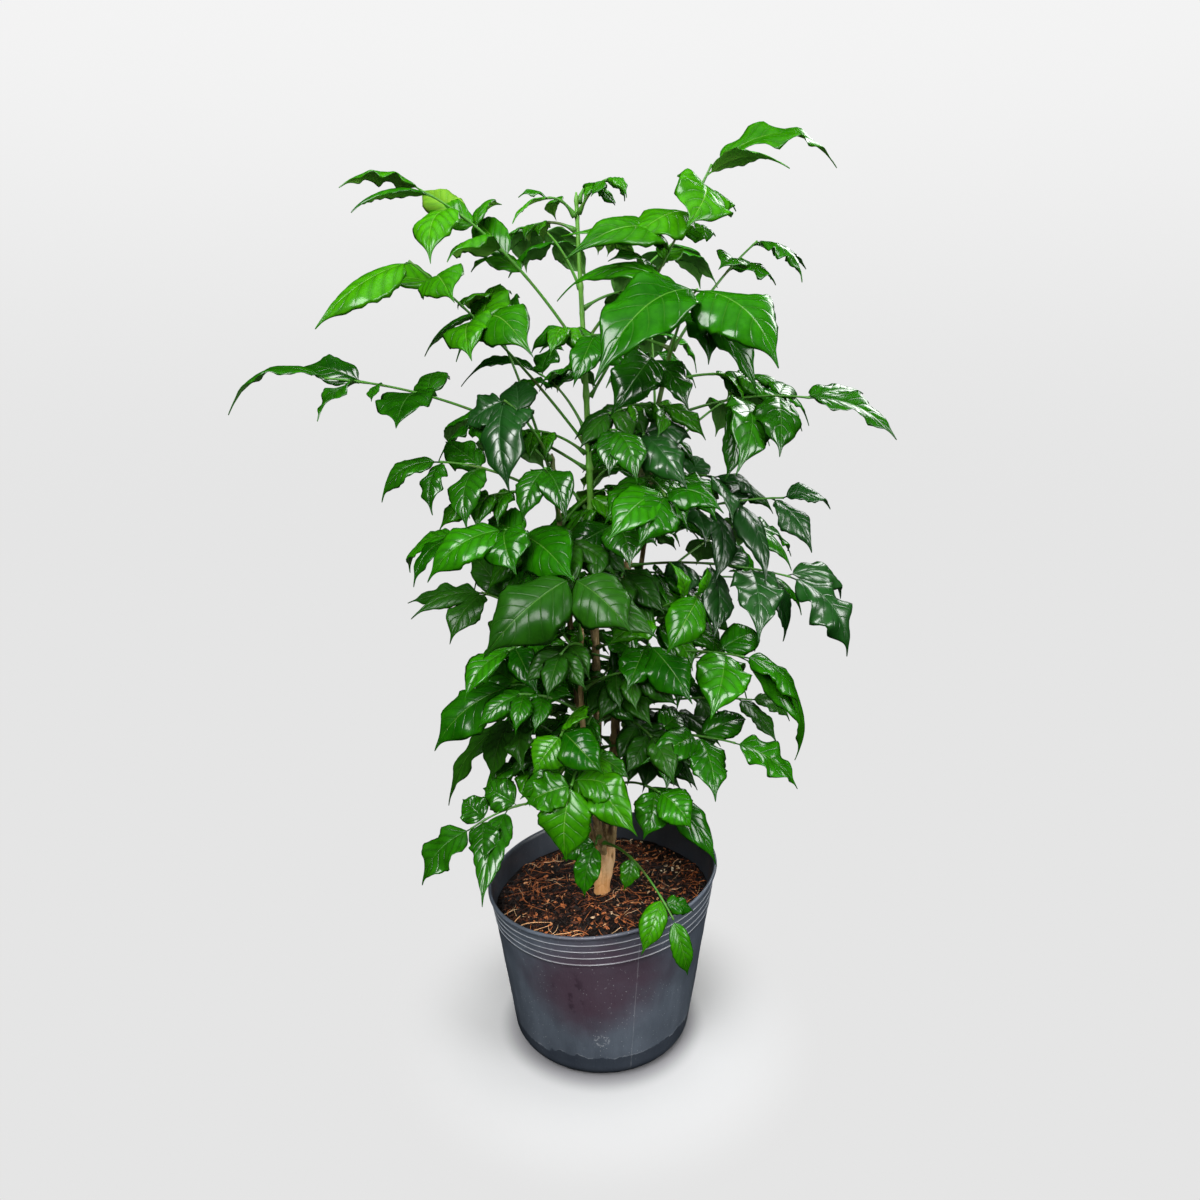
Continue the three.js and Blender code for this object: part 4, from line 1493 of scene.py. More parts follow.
@dataclass(frozen=True)
class Fan:
    """Evenly set leaflets: an end one and pairs behind it, each pair smaller and drooping."""

    pairs: int
    length: float
    spread: float = 62.0
    run: float = 0.82
    drop: float = 0.57
    breadth: float = 0.52

    def leaflets(self, heading: Array) -> list[Leaflet]:
        """The leaflets on a stalk with this level heading.

        A leaflet of length l runs l times the run along the heading, turned aside by the spread, and
        drops l times the drop. Pair n, counted from 0, sits at 0.9 - 0.28 n of the stalk, and is
        0.9 - 0.06 n times as long as the end one. The spread is in degrees.

        Args:
            heading: The level way the stalk ends.

        Returns:
            The leaflets, the end one first.
        """
        aside, spread = np.cross(heading, UP), np.radians(self.spread)

        def leaflet(place: float, side: int, length: float) -> Leaflet:
            """One leaflet, straight on or to one side."""
            way = np.cos(side * spread) * heading + np.sin(side * spread) * aside
            return Leaflet(place, *(way * length * self.run - UP * length * self.drop), length * self.breadth)

        found = [leaflet(1, 0, self.length)]
        for pair in range(self.pairs):
            size = self.length * (0.9 - 0.06 * pair)
            found += [leaflet(0.9 - 0.28 * pair, side, size) for side in (-1, 1)]
        return found


@dataclass(frozen=True)
class LeafPlan:
    """One compound leaf.

    Attributes:
        name: Its CAD node's name, without leaf_.
        tone: How its green reads.
        stem: The stem it grows from.
        height: The height of its node there.
        end: The far end of its stalk.
        arch: How far the stalk bows up.
        leaflets: Its leaflets, or the fan that they make.
        young: The numbers of its leaflets that are still lime green.
    """

    name: str
    tone: Tone
    stem: str
    height: float
    end: Point
    arch: float
    leaflets: tuple[Leaflet, ...] | Fan
    young: tuple[int, ...] = ()


def plan(
    name: str, tone: Tone, stem: str, height: float, end: Point, arch: float,
    leaflets: Sequence[tuple[float, float, float, float, float]] | Fan, young: tuple[int, ...] = (),
) -> LeafPlan:
    """Writes a leaf's plan from rows of place, x, y and z from base to tip, and width."""
    found = leaflets if isinstance(leaflets, Fan) else tuple(Leaflet(*row) for row in leaflets)
    return LeafPlan(name, tone, stem, height, end, arch, found, young)


LEAVES: tuple[LeafPlan, ...] = (
    plan("top_left", Tone.BRIGHT, "tall", 595, (-130, -10, 705), 14, (
        (1, -55, -15, 0, 26), (0.93, -50, -35, -15, 28), (0.8, -10, -50, -40, 32), (0.72, -40, 45, 25, 26),
        (0.66, -40, 20, 15, 24), (0.66, 15, 35, 20, 22), (0.5, -35, -40, -10, 32), (0.45, -30, 40, 30, 26),
        (0.36, -45, 40, 5, 24),
    ), young=(3,)),
    plan("upper_left", Tone.BRIGHT, "tall", 525, (-135, -40, 655), 8, (
        (1, -60, -35, -45, 42), (0.85, -65, 55, 0, 28), (0.86, 20, -50, -15, 36), (0.72, 20, 45, -5, 26),
        (0.6, 40, -65, -20, 40), (0.62, 0, -55, -25, 38), (0.62, 10, 55, 30, 34),
    )),
    plan("left_small", Tone.DEEP, "left", 500, (-90, 40, 625), 8, (
        (1, -50, -10, -35, 18), (0.95, -25, -25, -35, 16), (0.8, 10, 55, 30, 30), (0.75, -30, 45, 10, 26),
    )),
    plan("tip_left", Tone.BRIGHT, "tall", 690, (-40, -5, 700), 4, (
        (1, -20, -5, 0, 14), (0.9, -25, -25, -20, 16), (0.5, -5, 30, -10, 16),
    )),
    plan("tip_right", Tone.BRIGHT, "tall", 700, (-10, 20, 710), 3, (
        (1, 20, 0, -10, 14), (0.6, 15, -35, -10, 12),
    )),
    plan("top_right", Tone.BRIGHT, "tall", 560, (80, 10, 725), -6, (
        (1, 100, 35, 5, 36), (0.96, 55, -30, 0, 26), (0.93, -15, -50, -35, 48), (0.88, 35, 40, -5, 22),
        (0.82, -45, -55, -25, 40), (0.74, 30, 20, 0, 22), (0.66, -75, -70, -10, 40),
        (0.68, -80, -35, 5, 28), (0.62, 10, 20, 10, 22), (0.55, -35, -45, 10, 22),
    )),
    plan("right_upper", Tone.DEEP, "right", 595, (120, 40, 675), 6, (
        (1, 35, -10, -30, 34), (0.95, 50, 40, -15, 28), (0.7, -15, -40, -5, 28), (0.66, 40, 20, -10, 28),
    )),
    plan("right_big", Tone.FRESH, "right", 575, (65, -60, 635), 10, (
        (1, -70, -60, -60, 52), (0.97, 50, -50, -50, 58), (0.6, 15, -35, -35, 32),
        (0.66, 50, -20, -60, 28), (0.75, 65, 45, -35, 26), (0.8, -95, 45, 0, 26),
    )),
    plan("left_long", Tone.DEEP, "tall", 505, (-200, -40, 575), 14, (
        (1, -70, -10, -25, 30), (0.86, -50, 25, 10, 24), (0.88, -20, -40, -25, 30), (0.8, 0, -30, -10, 12),
        (0.66, -5, -60, -20, 44), (0.62, 0, 45, 15, 30), (0.4, 0, -45, -15, 28),
    )),
    plan("left_mid", Tone.DEEP, "left", 485, (-120, -40, 515), 6, (
        (1, -45, 0, -30, 28), (0.97, -5, -25, -35, 26), (0.66, -5, -40, -40, 32), (0.62, -35, 45, 15, 28),
    )),
    plan("left_arch", Tone.DEEP, "tall", 535, (-50, 40, 575), 6, (
        (1, -65, 10, -10, 32), (0.95, 15, 30, 25, 30), (0.6, -45, 5, -10, 30), (0.6, 10, 45, 10, 28),
    )),
    plan("left_gloss", Tone.SHADED, "left", 515, (-70, -50, 560), 5, (
        (1, -30, 5, -20, 32), (0.98, 5, -35, -60, 36), (0.7, -5, -35, -20, 32), (0.7, -5, 40, 20, 30),
    )),
    plan("left_inner", Tone.DEEP, "left", 470, (-40, -75, 515), 4, (
        (1, -15, -20, -35, 26), (0.9, 15, -30, -30, 26), (0.6, -15, 5, 10, 22),
    )),
    plan("mid_left", Tone.FRESH, "left", 430, (-70, -70, 470), 6, (
        (1, -55, -15, -35, 42), (0.98, 10, -35, -25, 38), (0.72, 40, -60, -20, 44), (0.7, -30, 35, 5, 32),
        (0.3, 30, -35, -25, 30),
    )),
    plan("mid_front", Tone.OLIVE, "front", 390, (-20, -110, 445), 5, (
        (1, -60, -25, -50, 52), (0.95, 40, -30, -30, 44), (0.9, 58, -12, -38, 36), (0.6, -40, 0, -35, 30),
    )),
    plan("left_lower", Tone.OLIVE, "left", 365, (-95, -20, 410), 6, (
        (1, -60, 5, -10, 24), (0.96, -55, -20, -15, 22), (0.94, -25, -35, -30, 28), (0.7, -35, 50, 25, 26),
        (0.65, -5, -40, -25, 30), (0.35, -10, -45, -25, 30),
    )),
    plan("low_left_big", Tone.FRESH, "left", 315, (-70, -55, 345), 6, (
        (1, -60, -10, -50, 44), (0.95, 15, -35, -20, 32), (0.9, -35, 40, 0, 30), (0.6, 30, -35, 5, 28),
        (0.6, 5, 0, 25, 26),
    )),
    plan("low_left_olive", Tone.OLIVE, "left", 275, (-75, -20, 305), 4, (
        (1, -15, -15, -50, 32), (0.95, -60, 20, -90, 24), (0.75, 0, -45, -25, 30), (0.7, -15, 60, -5, 26),
    )),
    plan("base_left", Tone.DEEP, "front", 225, (-105, -60, 225), 16, (
        (1, -40, -10, -45, 36), (0.9, 5, -35, -20, 30), (0.88, -20, 15, 10, 26), (0.7, -15, -60, -50, 28),
        (0.62, -30, 20, 5, 30),
    )),
    plan("front_low", Tone.BRIGHT, "front", 285, (-22, -118, 292), 4, (
        (1, -34, 0, -16, 32), (0.97, -4, -14, -54, 40), (0.9, 34, 4, -16, 32), (0.6, 44, -32, -38, 36),
    )),
    plan("front_mid", Tone.BRIGHT, "front", 330, (-30, -105, 325), 4, (
        (1, -20, -10, -25, 32), (0.9, 30, -20, -25, 34), (0.6, 15, -20, 10, 28),
    )),
    plan("low_right_small", Tone.FRESH, "right", 235, (45, -65, 260), 4, (
        (1, 25, -15, -25, 34), (0.9, -10, -25, -30, 30), (0.6, 60, -25, -60, 28),
    )),
    plan("right_low", Tone.FRESH, "right", 275, (105, -50, 295), 6, (
        (1, 50, -10, -35, 34), (0.7, 10, -45, -35, 36), (0.66, -45, -45, -5, 28), (0.7, 45, 45, -5, 26),
        (0.4, 0, -45, -30, 30), (0.35, 25, 35, 0, 28),
    )),
    plan("right_low_back", Tone.OLIVE, "back", 290, (130, 30, 300), 5, (
        (1, 35, 0, -20, 24), (0.9, 30, -30, -30, 28), (0.7, 10, 40, -5, 28), (0.6, 0, -30, -45, 28),
    )),
    plan("right_lower", Tone.FRESH, "right", 345, (110, -45, 365), 6, (
        (1, 45, -5, -45, 38), (0.95, 55, 25, -100, 34), (0.85, -15, -50, -35, 44), (0.8, 40, 45, -5, 30),
        (0.4, 5, -50, -30, 34), (0.35, 20, 40, 0, 30),
    )),
    plan("centre_low", Tone.FRESH, "right", 325, (35, -75, 385), 4, (
        (1, 30, -30, -35, 38), (0.9, -15, -40, -20, 32), (0.7, -30, 5, 15, 28), (0.5, 40, -25, -20, 32),
        (0.45, -25, -25, -35, 28),
    )),
    plan("young_bright", Tone.BRIGHT, "right", 370, (70, -85, 425), 4, (
        (1, -25, -30, -35, 32), (0.97, 5, -15, 25, 18), (0.8, -10, -5, 30, 14), (0.45, -35, -40, -15, 32),
        (0.3, 35, 35, 15, 28),
    )),
    plan("right_glossy", Tone.SHADED, "right", 425, (150, -10, 420), 6, (
        (1, 45, -20, -60, 46), (0.97, 55, 40, -30, 26), (0.75, 0, -55, -45, 40), (0.8, 20, -15, -55, 24),
        (0.5, 0, -40, -50, 30), (0.55, 25, 40, -5, 28), (0.3, 5, -45, -15, 30),
    )),
    plan("right_mid", Tone.SHADED, "right", 455, (145, 10, 480), 6, (
        (1, 40, 5, -10, 28), (0.92, 30, -20, -40, 32), (0.66, 20, -50, -55, 36), (0.6, 25, 50, -5, 28),
        (0.5, 0, -40, -55, 28), (0.35, 10, -45, -20, 32),
    )),
    plan("centre_mid", Tone.FRESH, "right", 495, (45, -75, 495), 5, (
        (1, -20, -30, -30, 38), (0.95, 40, -20, -10, 32), (0.9, -40, -35, -30, 34),
        (0.5, 25, -20, -35, 28), (0.4, -35, -25, -30, 34), (0.35, 35, -10, -20, 30),
    )),
    plan("centre_dark", Tone.SHADED, "back", 480, (90, 20, 495), 5, (
        (1, 35, 0, -20, 26), (0.9, 15, -45, -30, 28), (0.6, 15, 30, 10, 28),
    )),
    plan("centre_upper", Tone.DEEP, "tall", 525, (10, -60, 540), 3, (
        (1, -5, -25, -30, 24), (0.97, 15, -25, -35, 28), (0.8, -15, -5, -15, 22),
    )),
    plan("centre_inner", Tone.DEEP, "tall", 440, (10, -50, 470), 4, (
        (1, 10, -35, -25, 34), (0.9, -40, -15, -20, 32), (0.8, 35, 0, -15, 30),
    )),
    plan("centre_right", Tone.SHADED, "right", 535, (30, -45, 535), 2, (
        (1, 30, -35, -35, 34), (0.9, 35, 10, -5, 30), (0.6, 5, -25, -25, 28),
    )),
    plan("centre_top", Tone.DEEP, "right", 570, (35, -45, 590), 2, (
        (1, -30, -30, -40, 36), (0.9, 25, -20, -35, 30), (0.6, -20, 5, -25, 28),
    )),
    plan("centre_light", Tone.FRESH, "tall", 600, (-5, -40, 605), 2, (
        (1, -15, -25, -35, 24), (0.8, 25, -20, -25, 28),
    )),
    plan("right_long", Tone.DEEP, "right", 540, (155, -20, 560), 8, (
        (1, 65, -10, -30, 38), (0.97, 55, 45, 0, 26), (0.8, -5, -45, -40, 38), (0.56, -10, -60, -50, 42),
        (0.8, 20, 65, 0, 26), (0.5, -5, -15, -60, 26), (0.5, 10, 55, 10, 26),
    )),
    plan("base_front", Tone.FRESH, "front", 200, (-5, -60, 212), 2, (
        (1, -9, -14, -40, 22), (0.9, -28, -4, -14, 20),
    )),
    plan("trailing", Tone.BRIGHT, "front", 190, (55, -104, 172), 14, (
        (1, 12, -4, -48, 18), (0.84, -16, -22, -36, 22), (0.88, 24, 12, -16, 16), (0.42, -6, -10, -24, 18),
    )),
    plan("back_low_left", Tone.DEEP, "back", 240, (-85, 95, 290), 8, Fan(2, 68)),
    plan("back_low_right", Tone.DEEP, "back", 265, (95, 100, 320), 8, Fan(2, 68)),
    plan("back_low_middle", Tone.DEEP, "back", 300, (10, 150, 350), 8, Fan(2, 70)),
    plan("back_left", Tone.FRESH, "back", 345, (-80, 125, 420), 8, Fan(2, 70)),
    plan("back_right", Tone.FRESH, "back", 385, (135, 125, 440), 8, Fan(2, 72)),
    plan("back_middle", Tone.DEEP, "back", 440, (30, 180, 510), 8, Fan(2, 72)),
    plan("back_upper_left", Tone.FRESH, "tall", 470, (-100, 100, 540), 8, Fan(2, 70)),
    plan("back_upper_right", Tone.FRESH, "back", 500, (140, 120, 565), 8, Fan(2, 70)),
    plan("back_high", Tone.FRESH, "back", 540, (45, 165, 610), 8, Fan(2, 68)),
    plan("back_top_left", Tone.FRESH, "tall", 640, (-50, 95, 690), 6, Fan(2, 56)),
    plan("back_top_right", Tone.FRESH, "tall", 600, (60, 110, 680), 6, Fan(2, 60)),
    plan("side_left", Tone.FRESH, "left", 400, (-120, 30, 445), 8, Fan(1, 66)),
    plan("side_right", Tone.FRESH, "right", 395, (125, 45, 405), 8, Fan(1, 66)),
)


@dataclass(frozen=True)
class Spine:
    """A leaflet's midrib, and the frame that its sections stand in.

    Attributes:
        shares: The rows' places along it, from 0 at the base to 1 at the tip.
        points: The midrib's points.
        tangent: The way it runs at each.
        wide, high: The ways across the blade and up out of its face there.
    """

    shares: Array
    points: Array
    tangent: Array
    wide: Array
    high: Array


@dataclass(frozen=True)
class Blade:
    """How a leaflet's blade is shaped.

    The lengths are shares of the leaflet's own length or half width, unless they are said to be in
    millimetres.

    Attributes:
        foot: The part of the blade that is its own short stalk.
        vein_slant, vein_curve: How far towards the tip a vein runs on its way to the margin, and the
            power that bends it.
        fullness: Its width as a share of what its plan says.
        light_out, light_front: How much its face turns outwards, and to the front.
        crimp: How far its margins rise and fall with the veins.
        quilt_mm: How far the blade stands up between two veins.
        toothed_to: The height below which its teeth are full.
        lobed_width: The width at which its lobes are full. Those of a broader leaflet are bolder.
        columns: The places of its points across one half.
        outline: The half width at places along it.
    """

    foot: ClassVar[float] = 0.07
    vein_pairs: ClassVar[float] = 7.0
    vein_slant: ClassVar[float] = 0.26
    vein_curve: ClassVar[float] = 1.15
    bow: float = 0.17
    fullness: float = 0.97
    light_out: float = 0.5
    light_front: float = 0.45
    fold: float = 0.12
    droop: float = 0.24
    ruffle: float = 0.15
    crimp: float = 0.045
    quilt_mm: float = 0.5
    tooth: float = 0.055
    toothed_to: float = 420.0
    lobing: float = 0.036
    lobed_width: float = 42.0
    skin_mm: float = 0.3
    rib_mm: float = 0.55
    rows: int = 42
    columns: tuple[float, ...] = (0.09, 0.28, 0.5, 0.72, 0.9, 1.0)
    outline: tuple[Pair, ...] = (
        (0.0, 0.022), (0.05, 0.02), (0.07, 0.05), (0.08, 0.26), (0.1, 0.43), (0.135, 0.61), (0.19, 0.78),
        (0.26, 0.91), (0.34, 0.985), (0.41, 1.0), (0.49, 0.985), (0.57, 0.93), (0.65, 0.82), (0.72, 0.66),
        (0.78, 0.475), (0.83, 0.3), (0.87, 0.175), (0.91, 0.095), (0.955, 0.05), (1.0, 0.012),
    )

    def across(self) -> tuple[Array, Array]:
        """Places round a leaflet's section.

        Returns:
            The places across, from -1 to 1 over the face and back under it, and their side: 1 on the
            face, -1 on the underside and 0 on the two margins.
        """
        half = np.array(self.columns)
        face = np.concatenate((-half[::-1], (0.0,), half))
        under = face[-2:0:-1]
        side = np.concatenate((np.where(np.abs(face) < 1, 1.0, 0.0), np.full(len(under), -1.0)))
        return np.concatenate((face, under)), side

    def spine(self, base: Array, span: Array, rng: Chance) -> Spine:
        """Lays the midrib: a curve from base to tip, bowed towards the light and a little to one side.

        Args:
            base: Where it leaves the stalk.
            span: The way from there to the tip.
            rng: Its own source of chance.

        Returns:
            The midrib, with its rows closer together near the ends. Its sections roll a little.
        """
        length = float(np.linalg.norm(span))
        along = unit(span)
        front = self.light_front * np.interp(base[2], (630, 740), (1, 0.3))
        light = UP + front * FRONT + rng.normal(0, 0.14, 3)
        level = base * (1, 1, 0)
        light = light + self.light_out * level / max(np.linalg.norm(level), 1e-6)
        face = unit(light - along * (light @ along))
        knee = base + span / 2 + face * 2 * self.bow * rng.uniform(0.5, 1.5) * length
        even = np.linspace(0, 1, self.rows)
        u = even - 0.4 * np.sin(TURN * even) / TURN
        across = np.cross(along, face)
        sideways = rng.uniform(-0.05, 0.05) * length * np.sin(np.pi * u)
        points = bezier(base, knee, base + span, u) + sideways[:, None] * across
        tangent = unit(np.gradient(points, u, axis=0))
        lift = unit(np.cross(across, tangent))
        roll = rng.uniform(-0.4, 0.4) * (u - 0.1) + 0.07 * np.sin(6 * u + rng.uniform(0, 6))
        cos, sin = np.cos(roll)[:, None], np.sin(roll)[:, None]
        return Spine(u, points, tangent, cos * across + sin * lift, cos * lift - sin * across)

    def widths(
        self, u: Array, v: Array, low: bool, lobing: float, rng: Chance
    ) -> tuple[Array, Array]:
        """How far from the midrib a leaflet reaches, as shares of its greatest half width.

        Args:
            u: Its rows' places, as a column.
            v: The places across it.
            low: Whether it grows low on the plant, where the teeth are deeper.
            lobing: How far its lobes stand out.
            rng: Its own source of chance.

        Returns:
            The outline's half width at each row, and what teeth and lobes make of the margin there.
        """
        stations = np.array(self.outline)
        shift = u + rng.uniform(-0.035, 0.035) * np.sin(np.pi * u) ** 2
        shape = np.maximum(smooth_table(shift, stations[:, 0], stations[:, 1]), 0.01)
        right = v > 0
        teeth = rng.uniform(6.0, 8.5)
        bite = self.tooth * rng.uniform(-0.6, 1.4) * (1 if low else 0.5)
        nibble = (teeth * u * 1.25 + 0.37 * right + rng.uniform()) % 1.0
        edge = 1 + bite * (nibble - 0.5) * np.sin(np.pi * np.clip((u - 0.12) / 0.7, 0, 1)) * 2
        lobes = np.where(right, *rng.uniform(1.4, 2.6, 2))
        return shape, edge + lobing * np.sin(TURN * lobes * u + np.where(right, *rng.uniform(0, 6, 2)))

    def rise(self, u: Array, v: Array, aside: Array, half: Array, rng: Chance) -> Array:
        """How far the blade stands up from its midrib.

        At the place u along it and v across it, with h the half width there and v h the way aside, it
        rises by fold |v h| (1 - 0.45 |v|) - droop h |v|^3 + ruffle h v^2 sin(2 pi n u + a)
        + crimp h |v|^3 cos(2 pi c) + quilt |sin(pi c)|^0.7, where c counts the veins.

        Args:
            u: Its rows' places, as a column.
            v: The places across it.
            aside: The way aside of each point.
            half: The half width of each row.
            rng: Its own source of chance.

        Returns:
            The rise of each point.
        """
        out = np.abs(v)
        reached = np.clip((u - self.foot) / (1 - self.foot), 0, 1)
        count = self.vein_pairs * (reached - self.vein_slant * out**self.vein_curve)
        pillow = np.abs(np.sin(np.pi * count)) ** 0.7 * np.minimum(out * 6, 1) * (1 - out**5)
        fold, droop = self.fold * rng.uniform(-0.4, 2.4), self.droop * rng.uniform(0, 2)
        ruffle, waves = self.ruffle * rng.uniform(0.3, 1.9), rng.uniform(1.6, 3.6)
        phase = np.where(v > 0, *rng.uniform(0, TURN, 2))
        rise = fold * np.abs(aside) * (1 - 0.45 * out) - droop * half * out**3
        rise = rise + ruffle * half * out**2 * np.sin(TURN * waves * u + phase)
        rise = rise + self.crimp * half * out**3 * np.cos(TURN * count)
        return rise + self.quilt_mm * rng.uniform(0.5, 1.4) * pillow * np.sin(np.pi * reached) ** 0.5

    def build(self, base: Array, leaflet: Leaflet, rng: Chance, tone: float) -> Patch:
        """Builds one leaflet.

        Its sections stand across the midrib, with the margin pouched out between the vein ends, a
        groove along the midrib and a rib under it. A face and the one beneath it start at matching
        corners, so that both fold along the same diagonal and the thin skin stays closed.

        Args:
            base: Where it leaves the stalk.
            leaflet: Its size and direction.
            rng: Its own source of chance.
            tone: How light its green is, from 0 to 1.

        Returns:
            The closed leaflet.
        """
        spine = self.spine(base, np.array((leaflet.x, leaflet.y, leaflet.z), float), rng)
        u = spine.shares[:, None]
        v, side = self.across()
        lobing = self.lobing * min(leaflet.width / self.lobed_width, 2.0)
        shape, edge = self.widths(u, v, base[2] < self.toothed_to, lobing, rng)
        half = 0.5 * leaflet.width * self.fullness * shape
        aside = v * half * (1 + (edge - 1) * v**2)
        rise = self.rise(u, v, aside, half, rng) - 0.3 * bell(aside, 1.3) * shape
        under = self.skin_mm + self.rib_mm * bell(aside, 0.8) * (1.15 - u)
        rise = rise + np.where(side > 0, self.skin_mm, 0.0) - np.where(side < 0, under, 0.0)
        rings = spine.points[:, None] + aside[..., None] * spine.wide[:, None]
        rings = rings + rise[..., None] * spine.high[:, None]
        chart = np.stack(np.broadcast_arrays(0.5 + v / 2, u), -1)
        marks = {"tone": np.full(rings.shape[:2], tone), "underside": np.where(side < 0, 1.0, 0.0)}
        poles = spine.points[[0, -1]] + spine.tangent[[0, -1]] * np.array(((-0.3,), (0.4,)))
        blade = closed_patch(rings, poles, chart, marks)
        quads = blade.quads.reshape(self.rows - 1, -1, 4)
        beneath = np.arange(quads.shape[1]) >= 2 * len(self.columns)
        quads = np.where(beneath[:, None], np.roll(quads, 1, axis=-1), quads)
        return replace(blade, quads=quads.reshape(-1, 4))


@dataclass(frozen=True)
class InnerGrowth:
    """The small leaves inside the plant along one stem: the stretch they grow on and their size."""

    name: str
    stem: str
    low: float
    high: float
    step: float
    turn: float
    reach: float
    size: float
    seed: int
    # Painted light: lighter greens are favoured here to lift the shaded inside of the plant.
    tones: tuple[Tone, ...] = (Tone.BRIGHT, Tone.OLIVE, Tone.FRESH, Tone.BRIGHT)


INNER_GROWTHS: tuple[InnerGrowth, ...] = (
    InnerGrowth("tall", "tall", 250, 480, 18, 200, 50, 44, 201),
    InnerGrowth("high", "tall", 490, 630, 27, 60, 50, 42, 207),
    InnerGrowth("right", "right", 245, 600, 25, 20, 55, 46, 202),
    InnerGrowth("left", "left", 245, 500, 22, 120, 52, 48, 203),
    InnerGrowth("back", "back", 240, 520, 23, 60, 55, 50, 204),
    InnerGrowth("front", "front", 270, 390, 19, 150, 42, 42, 205),
    InnerGrowth("tip", "tall", 668, 704, 12, 40, 30, 22, 206, (Tone.BRIGHT,)),
)


@dataclass
class Foliage:
    """All the compound leaves.

    Attributes:
        greens: The leaflets' material for each tone.
        skin: The stalks' material.
        gap: The air between a stem and a leaf's stalk.
        stalk_radius: A stalk's radius at its foot.
        last_leaflet: The place along the stalk where its end leaflet sits.
        glossy_quilt_mm: How far the blades of the shaded, glossy leaves stand up between two veins.
    """

    greens: Mapping[Tone, Material]
    skin: Material
    blade: Blade = field(default_factory=Blade)
    gap: float = 0.3
    stalk_radius: float = 1.25
    stalk_tip_radius: float = 0.75
    stalk_sides: int = 8
    stalk_rows: int = 44
    last_leaflet: float = 0.99
    glossy_quilt_mm: float = 1.2

    def stalk(self, leaf: LeafPlan) -> tuple[Array, Array, Array]:
        """The three points that shape a leaf's stalk.

        It leaves its stem square to the stem's growth, from the stem's side.

        Args:
            leaf: The leaf.

        Returns:
            Its start, its knee and its far end.
        """
        stem = STEMS[leaf.stem]
        share = stem.share_at(leaf.height)
        centre, growing = stem.route.at(share), stem.route.heading(share)
        far = np.array(leaf.end, float)
        knee = (centre + far) / 2 + UP * 2 * leaf.arch
        leaving = unit(knee - centre)
        rise = float(leaving @ growing)
        away = unit(leaving - growing * rise)
        start = centre + away * (stem.radius_at(share) + self.gap + 1.4 * abs(rise))
        return start, knee, far

    def build(self, leaf: LeafPlan, seed: int) -> list[Patch]:
        """Builds one compound leaf: its stalk, swollen at its foot and joints, and its leaflets.

        Args:
            leaf: The leaf.
            seed: Its own source of chance.

        Returns:
            The stalk, then the leaflets.
        """
        rng = np.random.default_rng(seed)
        blade = replace(self.blade, quilt_mm=self.glossy_quilt_mm) if leaf.tone is Tone.SHADED else self.blade
        start, knee, far = self.stalk(leaf)
        heading = unit((far - knee) * (1, 1, 0))
        leaflets = leaf.leaflets.leaflets(heading) if isinstance(leaf.leaflets, Fan) else leaf.leaflets
        share = np.linspace(0, 1, self.stalk_rows)
        line = bezier(start, knee, far, share)
        way = unit(np.gradient(line, axis=0))
        reach = length_of(line)
        joints = np.array([spot.place for spot in leaflets])
        swelling = 0.9 * bell(share * reach, 4) + 0.35 * bell((share[:, None] - joints) * reach, 1.8).max(1)
        radii = (self.stalk_radius + (self.stalk_tip_radius - self.stalk_radius) * share) * (1 + swelling)
        line[0] -= way[0] * 1.2
        stalk = tube(line, way, radii, self.stalk_sides, np.cross(UP, heading) + 0.2 * UP)
        parts = [replace(stalk, finish=1)]
        for leaflet in leaflets:
            spot = bezier(start, knee, far, np.array([min(leaflet.place, self.last_leaflet)]))[0]
            parts.append(blade.build(spot, leaflet, rng, float(np.clip(rng.normal(0.5, 0.28), 0, 1))))
        return parts

    def inner_leaves(self, growth: InnerGrowth) -> list[LeafPlan]:
        """Plans the small leaves that fill the inside of the plant along one stem.

        They leave the stem one above the other, each turned a golden angle from the last.

        Args:
            growth: The stretch of stem that they grow on, and their size.

        Returns:
            The leaves' plans.
        """
        rng = np.random.default_rng(growth.seed)
        stem = STEMS[growth.stem]
        found = []
        for number, height in enumerate(np.arange(growth.low, growth.high, growth.step)):
            out = level_way(np.radians(growth.turn + GOLDEN_ANGLE * number))
            centre = stem.route.at(stem.share_at(height))
            end = centre + out * growth.reach * rng.uniform(0.7, 1.25) + UP * rng.uniform(0, 22)
            tone = growth.tones[rng.choice(len(growth.tones))]
            size = growth.size * rng.uniform(0.8, 1.15)
            fan = Fan(2, size, rng.uniform(50, 78))
            name = f"{growth.name}_{number}"
            found.append(LeafPlan(name, tone, growth.stem, float(height), tuple(end), 4, fan))
        return found

    def make_outer(self) -> None:
        """Makes a piece of each planned leaf, with its young leaflets in lime green."""
        for number, leaf in enumerate(LEAVES):
            parts = self.build(leaf, 1000 + number)
            for leaflet in leaf.young:
                parts[leaflet + 1] = replace(parts[leaflet + 1], finish=2)
            worn = [self.greens[leaf.tone], self.skin] + ([self.greens[Tone.LIME]] if leaf.young else [])
            settle(cast(f"compound_leaf_{leaf.name}", parts, worn), "leaf_green", f"leaf_{leaf.name}")

    def make_inner(self) -> None:
        """Makes one piece of the small leaves along each stretch of stem."""
        worn = [*self.greens.values(), self.skin]
        numbers = {tone: number for number, tone in enumerate(self.greens)}
        for growth in INNER_GROWTHS:
            parts = []
            for number, leaf in enumerate(self.inner_leaves(growth)):
                for part in self.build(leaf, 10 * growth.seed + number):
                    finish = len(self.greens) if part.finish else numbers[leaf.tone]
                    parts.append(replace(part, finish=finish))
            settle(cast(f"inner_leaves_{growth.name}", parts, worn), "leaf_green")

